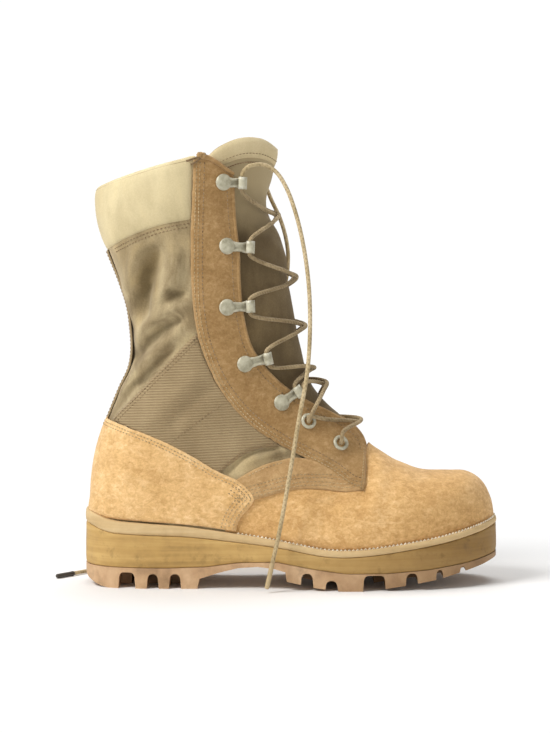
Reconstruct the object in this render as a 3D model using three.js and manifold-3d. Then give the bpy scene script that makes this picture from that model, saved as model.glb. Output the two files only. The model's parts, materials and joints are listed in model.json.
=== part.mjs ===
// Right combat boot: suede and nylon shaft boot with speed hooks, a welted
// wedge midsole and a lugged outsole. Millimetres, +X toe, +Y inner (medial)
// side, +Z up. Tables are written from the back of the heel (x = 0) and from
// the floor (z = 0); the whole boot is shifted to its origin at the end.
import * as THREE from 'three';
import { mergeVertices } from 'three/addons/utils/BufferGeometryUtils.js';
import Module from 'manifold-3d';

const wasm = await Module();
wasm.setup();

// ---------------------------------------------------------------- dimensions
const WALL = 2.2;                // upper wall
const GAP = 0.3;                 // air between neighbouring pieces
const OVERLAY = 1.8;             // thickness of suede overlays
const COLLAR_PAD = 7.5;          // thickness of the padded collar
const TONGUE_T = 2.8;            // tongue thickness
const INSOLE_T = 4.0;            // footbed thickness
const SOLE_MARGIN = 2.6;         // sole outline beyond the upper
const WELT_WIDTH = 10;           // width of the welt strip
const TOE_START = 232;           // where the toe outline begins
const TOE_HALF = 49.4;           // half width of the upper there
const TOE_TIP = 300.6;           // foremost point of the upper
const TOE_SWEEP = 9.25;          // inward sweep of the toe centre line
const TOE_CENTRE = 3.75;         // centre line at the start of the toe
const TOE_POWER = 1.95;          // squareness of the toe outline
const WIDEST_Z = 49;             // height of the widest point of the toe
const HOOK_R = 6.0;              // radius of a speed-hook cap
const HOOK_W = 7.6;              // width of a speed-hook strap
const BORE_R = 2.6;              // inside of a hook's curl
const CURL_R = 3.5;              // outside of a hook's curl
const EYELET_R = 5.8;            // eyelet flange radius
const EYELET_BORE = 3.3;         // eyelet hole radius
const LACE_R = 1.5;              // lace radius
const ORIGIN = [-150.7, -1.81, 0];  // shift to the middle of the box
const AROUND = 20;               // facets round the last
const PER_ROW = 1;               // loft steps between section rows

const table = (names, rows) => rows.map((row) =>
  Object.fromEntries(names.split(' ').map((name, i) => [name, row[i]])));

// ------------------------------------------------------- sections of the last
// a: point on the front or top outline, b: point on the rear or bottom outline,
// wl, wm: outer and inner half widths, ya, yb: centre line at a and at b,
// tm: where the section is widest (0 at a, 1 at b), n1, n2: fullness of the
// front and the rear half.
const SHAFT = table('ax az bx bz wl wm ya yb tm n1 n2', [
  [144.0, 338.0, 1.0, 312.0, 44.0, 44.0, 0.0, 0.0, 0.56, 1.70, 2.10],
  [143.0, 316.0, 6.8, 291.0, 44.0, 44.0, 0.0, 0.0, 0.56, 1.65, 2.10],
  [139.0, 296.0, 10.0, 268.0, 44.0, 44.0, 0.0, 0.0, 0.55, 1.60, 2.10],
  [135.0, 277.0, 15.5, 247.0, 43.5, 43.5, 0.0, 0.0, 0.54, 1.60, 2.10],
  [143.0, 258.0, 24.5, 224.0, 43.0, 43.0, 0.0, 0.0, 0.55, 1.55, 2.05],
  [149.5, 240.0, 31.0, 204.0, 42.0, 42.0, 0.0, 0.0, 0.56, 1.55, 2.00],
  [151.0, 221.0, 33.5, 187.0, 41.0, 41.0, 0.0, 0.0, 0.56, 1.55, 2.00],
  [154.0, 203.0, 34.3, 171.0, 40.0, 40.0, 0.0, 0.0, 0.56, 1.58, 2.00],
  [157.5, 187.0, 32.0, 157.0, 39.5, 39.5, 0.0, 0.0, 0.56, 1.60, 2.05],
  [160.5, 173.0, 25.5, 143.0, 39.5, 39.0, 0.0, 0.0, 0.56, 1.65, 2.10],
  [163.0, 160.0, 18.5, 126.0, 39.5, 39.0, 0.0, 0.0, 0.56, 1.70, 2.15],
  [166.5, 149.5, 12.2, 110.0, 39.0, 38.5, 0.2, 0.0, 0.57, 1.75, 2.20],
  [172.5, 140.5, 8.0, 95.0, 38.5, 38.0, 0.4, 0.0, 0.58, 1.80, 2.25],
  [180.0, 132.5, 5.6, 80.0, 37.8, 37.2, 0.6, 0.0, 0.59, 1.85, 2.40],
  [187.5, 126.0, 4.7, 65.0, 37.4, 36.6, 0.8, 0.0, 0.60, 1.90, 2.70],
  [194.0, 120.0, 4.8, 48.0, 37.6, 36.8, 1.0, 0.0, 0.61, 1.90, 3.20],
  [199.5, 114.5, 22.0, 33.0, 38.6, 37.6, 1.2, -0.7, 0.62, 1.90, 3.20],
  [203.5, 109.0, 58.0, 30.0, 38.6, 36.4, 1.4, -1.8, 0.64, 1.90, 3.20],
  [207.5, 103.5, 98.0, 27.0, 37.6, 35.4, 1.6, -3.0, 0.66, 1.85, 3.20],
  [213.5, 98.7, 136.0, 22.0, 41.4, 40.0, 2.0, -3.6, 0.65, 1.85, 3.20],
  [222.0, 93.5, 172.0, 17.0, 47.6, 46.6, 2.4, -2.0, 0.63, 1.95, 3.20],
  [232.0, 88.5, 204.0, 15.0, 50.6, 50.4, 3.2, 1.0, 0.60, 2.05, 3.20],
  [242.0, 84.5, 225.0, 16.5, 50.2, 50.2, 4.4, 3.2, 0.57, 2.15, 3.20],
]);

// top outline of the toe box and its lower edge, from the tread side
const TOE_TOP = table('x z', [
  [242, 84.5], [251, 82.2], [262, 81.3], [272, 81.6], [279, 81.4], [285.5, 79.4],
  [290.5, 75.6], [294.5, 70.9], [297.6, 65.0], [299.4, 59.0], [300.6, 51.0]]);
const TOE_ANGLES = [18, 31, 43, 54, 65, 77, 90];   // stations, degrees

// upper edge of the sole (feather line), tread line and welt height
const FEATHER = table('x z', [
  [-6, 57.0], [4.7, 53.6], [18, 49.3], [42.5, 47.0], [70.7, 45.2], [89.6, 43.0],
  [108.5, 40.2], [137, 36.2], [155, 32.8], [174, 29.6], [190, 28.9], [212, 30.5],
  [238, 34.0], [264, 38.4], [289.5, 44.2], [308, 49.8]]);
const TREAD = table('x z', [
  [-6, 15.2], [60, 14.6], [90, 15.6], [113, 18.8], [141, 19.8], [165, 15.6],
  [190, 12.4], [220, 12.4], [250, 14.4], [280, 18.0], [308, 23.4]]);
const WELT_H = table('x h', [
  [-6, 9.5], [40, 8.5], [108, 6.2], [150, 4.8], [308, 4.6]]);

// outline of the sole from above, heel to the start of the toe
const OUTLINE = table('x outer inner', [
  [-0.6, 0.0, 0.0], [0.6, -11.0, 11.0], [4.0, -20.0, 20.0], [11, -29.5, 29.5],
  [22, -36.5, 36.2], [40, -40.3, 39.6], [65, -41.0, 38.8], [90, -40.6, 36.6],
  [115, -42.0, 35.6], [140, -46.2, 38.4], [165, -50.6, 44.6], [190, -52.9, 50.8],
  [212, -51.8, 54.6], [232, -48.25, 55.75]]);

// ground line of the outsole and its cross grooves
const GROUND = table('x z', [
  [-6, 9.5], [-0.6, 8.6], [2.8, 5.5], [8, 2.8], [13, 1.1], [19, 0], [83.5, 0],
  [85, 7.2], [99, 11.7], [113, 15.2], [127, 16.4], [139, 15.2], [147, 13.0],
  [148, 6.3], [158, 4.3], [167, 2.4], [180, 0.8], [188, 0], [204, 0], [212, 0.7],
  [219, 1.8], [233, 3.6], [242, 5.0], [255, 7.0], [262, 8.6], [273, 11.2],
  [290, 15.2], [308, 20.6]]);
const GROOVES = table('from to top', [
  [26.5, 38.7, 11.6], [47.2, 55.6, 10.6], [63.2, 71.7, 10.6],
  [158, 167, 12.4], [175.5, 184.5, 7.6], [202.6, 218.6, 11.4], [233, 242, 12.4],
  [255, 260.4, 14.2], [272.6, 277.4, 15.4]]);
const CHANNEL_Y = [13, 17];        // lengthwise channels each side of the middle
const CENTRE_SHIFT = 7.5;          // how far the middle grooves are staggered

// lines on the side of the boot
const COLLAR_TOP = table('x z', [
  [-10, 282.4], [7.8, 287.5], [30, 294.5], [56, 302], [81, 308.6], [86, 311.5],
  [92, 309.5], [109, 297.6], [114, 294.5]]);
const COLLAR_SEAM = table('x z', [
  [0, 236.5], [17.8, 244.5], [30, 250.4], [43.5, 256], [60, 261.2], [78.6, 264.6]]);
const EYESTAY_REAR = table('x z', [
  [81.2, 309.5], [79.8, 270], [79.6, 240], [80.6, 205], [84.7, 179], [94, 153.5],
  [101, 141], [112.6, 126], [125, 114.6], [143.8, 102.2], [160, 93.5], [176, 85],
  [186, 78], [194, 72.5], [203, 70.4]]);
const THROAT = table('x z', [
  [109.4, 297.4], [109.4, 281], [110.6, 262], [113.0, 242], [113.7, 219.6],
  [116, 197], [121.5, 175], [127.6, 164.6], [135, 155], [148, 142.9],
  [163.8, 133.0], [179.4, 125.2], [195, 115.6], [203, 106.4], [205.6, 99]]);
const COUNTER = table('x z', [
  [-12, 124], [4, 122.6], [16.7, 120.4], [32.3, 116], [54.6, 108], [77, 97],
  [99, 83.8], [112.6, 77.6], [121, 70.6], [124.4, 64.4], [121, 58.6], [116.8, 54],
  [112.6, 47], [110.3, 34]]);
const STRAP_TOP = table('x z', [
  [124.9, 86.0], [134, 89.6], [143.8, 92.3], [152, 93.8], [158, 93.4]]);
const STRAP_LOW = table('x z', [
  [126.0, 64.4], [133, 66.2], [141.5, 68.6], [157, 71.6], [172, 71.4], [192, 69.8]]);
const TONGUE_TOP = table('x z', [
  [93, 311], [100, 315.6], [107, 319.4], [115, 323], [121.5, 324.8], [128, 324.6],
  [134, 322], [139, 317.5], [146, 311]]);
const TONGUE_REAR = table('x z', [
  [93, 311], [93, 285], [95.5, 245], [97, 210], [102, 178], [112, 158], [128, 141],
  [146, 130], [164, 121.5], [180, 113.5], [192, 104.5], [199, 94], [208, 88]]);

// hooks: cap centre, end of the curl; eyelets: centre
const HOOKS = table('x z lx lz', [
  [101.4, 292.0, 114.6, 291.4], [104.0, 246.0, 120.4, 245.4],
  [104.3, 202.4, 120.6, 203.0], [117.0, 161.6, 133.2, 165.2],
  [143.1, 133.0, 155.2, 140.6]]);
const EYELETS = table('x z', [[162.7, 119.3], [186.1, 103.0]]);

// ------------------------------------------------------------------- helpers
const catmull = (p0, p1, p2, p3, f) => 0.5 * ((2 * p1) + (p2 - p0) * f
  + (2 * p0 - 5 * p1 + 4 * p2 - p3) * f * f + (3 * p1 - p0 - 3 * p2 + p3) * f ** 3);
function along(rows, key, s) {            // smooth value of a column at row s
  const n = rows.length - 1;
  const i = Math.min(Math.max(Math.floor(s), 0), n - 1);
  const at = (k) => rows[Math.min(Math.max(k, 0), n)][key];
  return catmull(at(i - 1), at(i), at(i + 1), at(i + 2), s - i);
}
function level(rows, key, x) {            // piecewise linear value at x
  let i = 0;
  while (i < rows.length - 2 && x > rows[i + 1].x) i += 1;
  const a = rows[i], b = rows[i + 1];
  return a[key] + (b[key] - a[key]) * (x - a.x) / (b.x - a.x);
}
function smooth(rows, steps) {            // a smooth polyline through a table
  const curve = new THREE.CatmullRomCurve3(
    rows.map((r) => new THREE.Vector3(r.x, r.z, 0)), false, 'centripetal');
  return curve.getPoints(steps).map((p) => [p.x, p.y]);
}

// toe sections, worked out from the toe outline
const toeHalf = (x, half, tip) => half
  * (1 - Math.min(1, (x - TOE_START) / (tip - TOE_START)) ** TOE_POWER) ** (1 / TOE_POWER);
const toeCentre = (x) => TOE_CENTRE
  + TOE_SWEEP * (x - TOE_START) / (TOE_TIP - TOE_START);
const ROWS = [...SHAFT];
for (const angle of TOE_ANGLES) {
  const x = TOE_START + (TOE_TIP - TOE_START) * Math.sin(angle * Math.PI / 180);
  const az = level(TOE_TOP, 'z', x);
  const bz = 16.5 + (x - 225) * 0.1;
  const w = angle === 90 ? 0 : toeHalf(x, TOE_HALF, TOE_TIP) * 1.012;
  ROWS.push({ ax: x, az, bx: x - 8 * Math.cos(angle * Math.PI / 180), bz, wl: w, wm: w,
    ya: toeCentre(x), yb: toeCentre(x),
    tm: Math.max(0.12, (az - WIDEST_Z) / (az - bz)), n1: 2.2, n2: 3.2 });
}
const LAST = ROWS.length - 1;

// a point of the last: s runs down the rows, phi round the section, from the
// front line (0) over the outer side (0..pi) and back over the inner side
function section(s, phi) {
  const g = (key) => along(ROWS, key, s);
  const outer = phi <= Math.PI;
  const a = outer ? phi : 2 * Math.PI - phi;
  const n = a < Math.PI / 2 ? g('n1') : g('n2');
  const c = Math.abs(Math.cos(a)), d = Math.abs(Math.sin(a));
  const r = (c ** n + d ** n) ** (-1 / n);
  const tm = g('tm');
  const t = a < Math.PI / 2 ? tm * (1 - r * c) : tm + (1 - tm) * r * c;
  const w = Math.max(0, outer ? g('wl') : g('wm'));
  return new THREE.Vector3(
    g('ax') + (g('bx') - g('ax')) * t,
    g('ya') + (g('yb') - g('ya')) * t + (outer ? -1 : 1) * w * r * d,
    g('az') + (g('bz') - g('az')) * t);
}
function normal(s, phi) {
  if (s > LAST - 0.02) return new THREE.Vector3(1, 0, 0);
  const e = 0.02, h = 0.01;
  const du = section(Math.min(s + e, LAST), phi).sub(section(Math.max(s - e, 0), phi));
  const p1 = (phi + h) % (2 * Math.PI), p0 = (phi - h + 2 * Math.PI) % (2 * Math.PI);
  const dv = section(s, p1).sub(section(s, p0));
  return du.cross(dv).normalize().multiplyScalar(-1);
}
const surface = (s, phi, off) => section(s, phi).addScaledVector(normal(s, phi), off);

function toSolid(geometry) {
  geometry.deleteAttribute('normal');
  geometry.deleteAttribute('uv');
  const merged = mergeVertices(geometry, 1e-4);
  const index = Array.from(merged.index.array);
  const tri = [];
  for (let i = 0; i < index.length; i += 3) {
    const [a, b, c] = index.slice(i, i + 3);
    if (a !== b && b !== c && a !== c) tri.push(a, b, c);
  }
  return new wasm.Manifold(new wasm.Mesh({ numProp: 3,
    vertProperties: new Float32Array(merged.attributes.position.array),
    triVerts: new Uint32Array(tri) }));
}
function toGeometry(solid) {
  const mesh = solid.getMesh();
  const geometry = new THREE.BufferGeometry();
  geometry.setAttribute('position', new THREE.BufferAttribute(
    new Float32Array(mesh.vertProperties), 3));
  geometry.setIndex(Array.from(mesh.triVerts));
  return geometry;
}

// the closed solid of the last, grown or shrunk by off
function form(off, around = AROUND, perRow = PER_ROW) {
  const steps = LAST * perRow;
  const position = [], index = [];
  for (let i = 0; i <= steps; i += 1) {
    for (let j = 0; j < around; j += 1) {
      const p = surface(i / perRow, (j / around) * 2 * Math.PI, off);
      if (i === steps) p.y = section(LAST, 0).y;
      position.push(p.x, p.y, p.z);
    }
  }
  const at = (i, j) => i * around + (j % around);
  for (let i = 0; i < steps; i += 1) {
    for (let j = 0; j < around; j += 1) {
      index.push(at(i, j), at(i + 1, j + 1), at(i + 1, j));
      index.push(at(i, j), at(i, j + 1), at(i + 1, j + 1));
    }
  }
  for (let j = 1; j < around - 1; j += 1) index.push(at(0, 0), at(0, j + 1), at(0, j));
  const geometry = new THREE.BufferGeometry();
  geometry.setAttribute('position', new THREE.BufferAttribute(new Float32Array(position), 3));
  geometry.setIndex(index);
  let solid = toSolid(geometry);
  if (solid.volume() < 0) {
    for (let k = 0; k < index.length; k += 3) [index[k + 1], index[k + 2]] = [index[k + 2], index[k + 1]];
    geometry.setIndex(index);
    solid = toSolid(geometry);
  }
  return solid;
}

// a prism seen from the side (x, z), from y0 to y1
function sidePrism(points, y0 = -120, y1 = 120) {
  const shape = new THREE.Shape(points.map(([x, z]) => new THREE.Vector2(x, z)));
  const geometry = new THREE.ExtrudeGeometry(shape, { depth: y1 - y0, bevelEnabled: false });
  geometry.rotateX(Math.PI / 2);
  geometry.translate(0, y1, 0);
  return toSolid(geometry);
}
// a prism seen from above (x, y), from z0 to z1
function planPrism(points, z0, z1) {
  const shape = new THREE.Shape(points.map(([x, y]) => new THREE.Vector2(x, y)));
  const geometry = new THREE.ExtrudeGeometry(shape, { depth: z1 - z0, bevelEnabled: false });
  geometry.translate(0, 0, z0);
  return toSolid(geometry);
}
const shifted = (points, dx, dz) => points.map(([x, z]) => [x + dx, z + dz]);
// an outline moved square to itself
function grown(points, by) {
  return points.map(([x, y], i) => {
    const [x0, y0] = points[(i - 1 + points.length) % points.length];
    const [x1, y1] = points[(i + 1) % points.length];
    const l = Math.hypot(x1 - x0, y1 - y0) || 1;
    return [x + by * (y1 - y0) / l, y - by * (x1 - x0) / l];
  });
}
// an open line moved square to itself (to the left of its direction)
function parallel(points, by) {
  return points.map(([x, y], i) => {
    const [x0, y0] = points[Math.max(i - 1, 0)];
    const [x1, y1] = points[Math.min(i + 1, points.length - 1)];
    const l = Math.hypot(x1 - x0, y1 - y0) || 1;
    return [x - by * (y1 - y0) / l, y + by * (x1 - x0) / l];
  });
}

// ------------------------------------------------------------- sole outlines
function soleOutline() {
  const line = (key) => new THREE.CatmullRomCurve3(
    OUTLINE.map((r) => new THREE.Vector3(r.x, r[key], 0)), false, 'centripetal')
    .getPoints(17).map((p) => [p.x, p.y]);
  const tip = TOE_TIP + 2.0, toe = [];
  for (let k = 1; k < 13; k += 1) {
    const a = -Math.PI / 2 + (k / 13) * Math.PI;
    const x = TOE_START + (tip - TOE_START) * Math.cos(a);
    const c = Math.abs(Math.cos(a)), d = Math.abs(Math.sin(a));
    const r = (c ** TOE_POWER + d ** TOE_POWER) ** (-1 / TOE_POWER);
    const xs = TOE_START + (tip - TOE_START) * c * r;
    toe.push([xs, toeCentre(xs) + Math.sign(a) * d * r * (TOE_HALF + SOLE_MARGIN)]);
  }
  const outer = line('outer'), inner = line('inner').reverse();
  return [...outer, ...toe, ...inner.slice(0, -1)];       // anticlockwise from above
}
const SOLE = soleOutline();

const columns = (rows, key, from, to, step) => {
  const out = [];
  for (let x = from; x <= to + 1e-6; x += step) out.push([x, level(rows, key, x)]);
  return out;
};
const featherLine = columns(FEATHER, 'z', -6, 308, 26.167);
const treadLine = columns(TREAD, 'z', -6, 308, 26.167);
const weltLine = featherLine.map(([x, z]) => [x, z - level(WELT_H, 'h', x)]);
const slab = (low, high) => sidePrism([...low, ...[...high].reverse()]);

// ---------------------------------------------------------------------- sole
const feather = (dz) => shifted(featherLine, 0, dz);
const ringOuter = planPrism(SOLE, -5, 90);
const ringInner = planPrism(grown(SOLE, -WELT_WIDTH), -6, 91);
const welt = slab(weltLine, feather(0)).intersect(ringOuter.subtract(ringInner));
const weltClear = slab(shifted(weltLine, 0, -GAP), feather(4))
  .intersect(planPrism(grown(SOLE, 3), -5, 90)
    .subtract(planPrism(grown(SOLE, -WELT_WIDTH - GAP), -6, 91)));
const midsole = slab(shifted(treadLine, 0, GAP), feather(0))
  .intersect(planPrism(grown(SOLE, 0.2), -5, 90)).subtract(weltClear);

function outsoleSolid() {
  const ground = GROUND.map((r) => [r.x, r.z]);
  let solid = slab(ground, treadLine).intersect(planPrism(grown(SOLE, 0.2), -5, 90));
  const centre = (x) => (x > 140 ? 1.5 : 0);
  for (const g of GROOVES) {
    const taper = Math.min(1.6, (g.to - g.from) / 5);
    const profile = (dx) => [[g.from + dx - 0.6, -4], [g.to + dx + 0.6, -4],
      [g.to + dx - taper * 0.4, g.top - 2], [g.to + dx - taper * 1.4, g.top],
      [g.from + dx + taper * 1.4, g.top], [g.from + dx + taper * 0.4, g.top - 2]];
    const y = centre(g.from);
    solid = solid.subtract(sidePrism(profile(0), -80, y - CHANNEL_Y[0]));
    solid = solid.subtract(sidePrism(profile(0), y + CHANNEL_Y[0], 80));
    if (g.to + CENTRE_SHIFT < 83) {
      solid = solid.subtract(sidePrism(profile(CENTRE_SHIFT), y - CHANNEL_Y[0] - 0.5, y + CHANNEL_Y[0] + 0.5));
    } else if (g.from > 100) {
      solid = solid.subtract(sidePrism(profile(-CENTRE_SHIFT), y - CHANNEL_Y[0] - 0.5, y + CHANNEL_Y[0] + 0.5));
    }
  }
  for (const [x0, x1, z0, z1] of [[16, 76, -4, 4.4], [150, 268, -4, 5.2]]) {
    for (const side of [-1, 1]) {
      const y = centre(x0) + side * (CHANNEL_Y[0] + CHANNEL_Y[1]) / 2;
      const half = (CHANNEL_Y[1] - CHANNEL_Y[0]) / 2;
      solid = solid.subtract(sidePrism([[x0, z0], [x1, z0], [x1, z1 + (x1 > 200 ? 5 : 0)],
        [x0 + 60, z1], [x0, z1 + (x1 > 200 ? 2.5 : 0)]].filter((p) => p[0] <= x1), y - half, y + half));
    }
  }
  return solid;
}
const outsole = outsoleSolid();

// --------------------------------------------------------------------- upper
const outer = form(0);
const inner = form(-WALL);
const collarTop = smooth(COLLAR_TOP, 14);
const collarSeam = smooth(COLLAR_SEAM, 8);
const throat = smooth(THROAT, 14);
const eyestayRear = smooth(EYESTAY_REAR, 13);
const above = sidePrism([...collarTop, [150, 294.5], [150, 380], [-10, 380]]);
const below = slab([[-20, -20], [330, -20]], feather(GAP));
const throatCut = sidePrism([...throat, [230, 140], [230, 380], [109.4, 380]]);
const collarShape = (grow) => [
  ...parallel(collarSeam, -grow), [78.8 + grow, 264.6 - grow], [78.8 + grow, 330], [-12, 330],
  [-12, 236.5 - grow]];
const shell = outer.subtract(inner).subtract(above).subtract(below).subtract(throatCut);

// a surface point under a side-view position
const GRID = [];
for (let i = 0; i <= LAST * 6; i += 1) {
  for (let j = 1; j < 60; j += 1) {
    const s = i / 6, phi = (j / 60) * Math.PI;
    GRID.push({ s, phi, p: section(s, phi) });
  }
}
function locate(x, z, off) {
  let best = GRID[0], d = Infinity;
  for (const g of GRID) {
    const e = (g.p.x - x) ** 2 + (g.p.z - z) ** 2;
    if (e < d) { d = e; best = g; }
  }
  let { s, phi } = best;
  for (let k = 0; k < 12; k += 1) {
    const p = surface(s, phi, off);
    const ps = surface(s + 0.02, phi, off), pf = surface(s, phi + 0.01, off);
    const a = (ps.x - p.x) / 0.02, b = (pf.x - p.x) / 0.01;
    const c = (ps.z - p.z) / 0.02, e = (pf.z - p.z) / 0.01;
    const det = a * e - b * c;
    if (Math.abs(det) < 1e-9) break;
    const rx = x - p.x, rz = z - p.z;
    s += Math.max(-0.5, Math.min(0.5, (rx * e - b * rz) / det));
    phi += Math.max(-0.2, Math.min(0.2, (a * rz - rx * c) / det));
  }
  return { s, phi };
}

// a round cutter or piece placed on the surface: local z is the normal, local x
// points along the given side-view direction
function place(geometry, x, z, dx, dz, side, off) {
  const { s, phi } = locate(x, z, off);
  const f = side < 0 ? phi : 2 * Math.PI - phi;
  const p = surface(s, f, off), n = normal(s, f);
  const d = new THREE.Vector3(dx, 0, dz);
  d.addScaledVector(n, -d.dot(n)).normalize();
  const basis = new THREE.Matrix4().makeBasis(d, n.clone().cross(d), n).setPosition(p);
  geometry.applyMatrix4(basis);
  return geometry;
}
const lathe = (profile, segments) => {
  const geometry = new THREE.LatheGeometry(profile.map(([r, h]) => new THREE.Vector2(r, h)), segments);
  geometry.rotateX(Math.PI / 2);
  return geometry;
};

const H0 = GAP + OVERLAY + GAP;              // underside of the hardware
const holes = [];
for (const e of EYELETS) {
  for (const side of [-1, 1]) {
    holes.push(toSolid(place(lathe([[0, -9], [4.9, -9], [4.9, 9], [0, 9]], 10), e.x, e.z, 1, 0, side, H0)));
  }
}
const OVER = GAP + OVERLAY;
const form03 = form(GAP), formOver = form(OVER), formDouble = form(OVER + GAP), formTop = form(OVER + GAP + OVERLAY);
const skin = formOver.subtract(form03);

const eyestayShape = [...eyestayRear, [205.2, 71.5], ...[...throat].reverse(),
  ...smooth(COLLAR_TOP, 14).filter(([x]) => x > 82 && x < 109).reverse()];
const half = (side) => (side < 0 ? [-120, -0.4] : [0.4, 120]);
const cutAll = (solid, cutters) => cutters.reduce((m, c) => m.subtract(c), solid);
const eyestay = (side) => cutAll(
  skin.intersect(sidePrism(eyestayShape, ...half(side))).subtract(below), holes);

const counterLine = smooth(COUNTER, 18);
const counterShape = [...counterLine, [110.3, 20], [-12, 20]];
const counter = skin.intersect(sidePrism(counterShape)).subtract(below);

const strapTop = smooth(STRAP_TOP, 8), strapLow = smooth(STRAP_LOW, 10);
const rearFrom = eyestayRear.filter(([x, z]) => x > 158 && x < 201)
  .map(([x, z]) => [x - 0.5 * GAP - 0.2, z - 0.8 * GAP - 0.2]);
const strapShape = [...strapLow, ...[...rearFrom].reverse(), ...[...strapTop].reverse()];
const counterClear = sidePrism([...parallel(counterLine, -GAP * 1.5), [112, 20], [-12, 20]]);
const strap = (side) => skin.intersect(sidePrism(strapShape, ...half(side)))
  .subtract(counterClear);

const backShape = [[-12, 126], [19.5, 124.5], [22, 128.6], [26, 139], [36, 152],
  [40, 170], [39, 188], [35, 205], [27, 226], [22, 240], [20.5, 243.6], [-12, 229]];
const backstay = skin.intersect(sidePrism(backShape)).intersect(
  planPrism([[-20, -6.5], [60, -6.5], [60, 6.5], [-20, 6.5]], 0, 400));

const collarOuter = form(0.6), collarInner = form(-COLLAR_PAD);
const collar = collarOuter.subtract(collarInner).subtract(above)
  .intersect(sidePrism(collarShape(0)));
const upper = cutAll(shell.subtract(sidePrism(collarShape(GAP))), holes);

// -------------------------------------------------------------------- tongue
const T0 = -WALL - 0.5;
const tongueShape = [...smooth(TONGUE_REAR, 14), [214, 90], [230, 104], [230, 140], [190, 290],
  ...smooth(TONGUE_TOP, 9).reverse().slice(0, -1)];
const tongueFull = form(T0).subtract(form(T0 - TONGUE_T)).intersect(sidePrism(tongueShape));
const padClear = form(1.2).subtract(form(-COLLAR_PAD - GAP)).intersect(sidePrism(collarShape(GAP)));
const tongue = tongueFull.subtract(padClear);

// -------------------------------------------------------------------- insole
const insole = form(-WALL - 0.5).intersect(slab(feather(GAP), feather(GAP + INSOLE_T)));

// ------------------------------------------------------------ hooks, eyelets
function hookSolid(h, side) {
  const dx = h.lx - h.x, dz = h.lz - h.z, reach = Math.hypot(dx, dz);
  const cap = toSolid(place(lathe([[0, 0], [HOOK_R * 0.86, 0], [HOOK_R, 0.7],
    [HOOK_R * 0.8, 2.2], [0, 3.0]], 10), h.x, h.z, dx, dz, side, H0));
  const cx = reach, cz = CURL_R + 0.2;
  const ring = (r, from, to, n) => Array.from({ length: n + 1 }, (_, k) => {
    const a = from + (to - from) * k / n;
    return [cx + r * Math.cos(a), cz + r * Math.sin(a)];
  });
  const profile = [[2, 0.2], ...ring(CURL_R, -Math.PI / 2, Math.PI * 0.98, 5),
    ...ring(BORE_R, Math.PI * 0.98, -Math.PI / 2, 4), [cx - 2, 1.2], [2, 1.2]];
  const shape = new THREE.Shape(profile.map(([x, y]) => new THREE.Vector2(x, y)));
  const strip = new THREE.ExtrudeGeometry(shape, { depth: HOOK_W, bevelEnabled: false });
  strip.translate(0, 0, -HOOK_W / 2);
  strip.rotateX(Math.PI / 2);
  return cap.add(toSolid(place(strip, h.x, h.z, dx, dz, side, H0)));
}
const eyeletSolid = (e, side) => toSolid(place(lathe([[EYELET_BORE, -6], [4.0, -6], [4.0, 0],
  [EYELET_R, 0], [EYELET_R - 0.6, 1.3], [EYELET_BORE, 1.1],
  [EYELET_BORE, -6]], 10), e.x, e.z, 1, 0, side, H0));

// ---------------------------------------------------------------------- lace
function tube(points, radius, sides, steps) {
  const path = new THREE.CatmullRomCurve3(points, false, 'centripetal');
  const ring = Array.from({ length: sides }, (_, k) => {
    const a = (k + 0.5) / sides * 2 * Math.PI;
    return new THREE.Vector2(radius * Math.cos(a), radius * Math.sin(a));
  });
  return toSolid(new THREE.ExtrudeGeometry(new THREE.Shape(ring),
    { steps, bevelEnabled: false, extrudePath: path }));
}
// where the lace passes a hook's curl: centre of the bore and its axis
function bore(h, side) {
  const { s, phi } = locate(h.x, h.z, H0);
  const f = side < 0 ? phi : 2 * Math.PI - phi;
  const p = surface(s, f, H0), n = normal(s, f);
  const d = new THREE.Vector3(h.lx - h.x, 0, h.lz - h.z);
  const reach = d.length();
  d.addScaledVector(n, -d.dot(n)).normalize();
  const axis = n.clone().cross(d).normalize();
  if (axis.z < 0) axis.multiplyScalar(-1);
  return { c: p.clone().addScaledVector(d, reach).addScaledVector(n, CURL_R + 0.2), axis, s, f };
}
// in front of the tongue: on the middle line at row s, raised by off
const front = (s, y, off) => {
  const phi = y < 0 ? 0.02 - y / 60 : 2 * Math.PI - 0.02 - y / 60;
  return surface(s, phi, off);
};
const LIFT = [1.8, 4.2];                     // lower and upper lace at a crossing
let lace = null;
const join = (m) => { lace = lace ? lace.add(m) : m; };
const EXIT = HOOK_W / 2 + 3.0;
for (let i = 0; i < HOOKS.length - 1; i += 1) {
  for (const side of [-1, 1]) {
    const up = bore(HOOKS[i], side), dn = bore(HOOKS[i + 1], -side);
    const sm = (up.s + dn.s) / 2;
    const lift = LIFT[(i + (side > 0 ? 1 : 0)) % 2];
    join(tube([up.c, up.c.clone().addScaledVector(up.axis, -EXIT),
      front(up.s * 0.62 + dn.s * 0.38, side * 13, lift),
      front(sm, 0, lift),
      front(up.s * 0.38 + dn.s * 0.62, -side * 13, lift),
      dn.c.clone().addScaledVector(dn.axis, EXIT), dn.c], LACE_R, 5, 16));
  }
}

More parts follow.
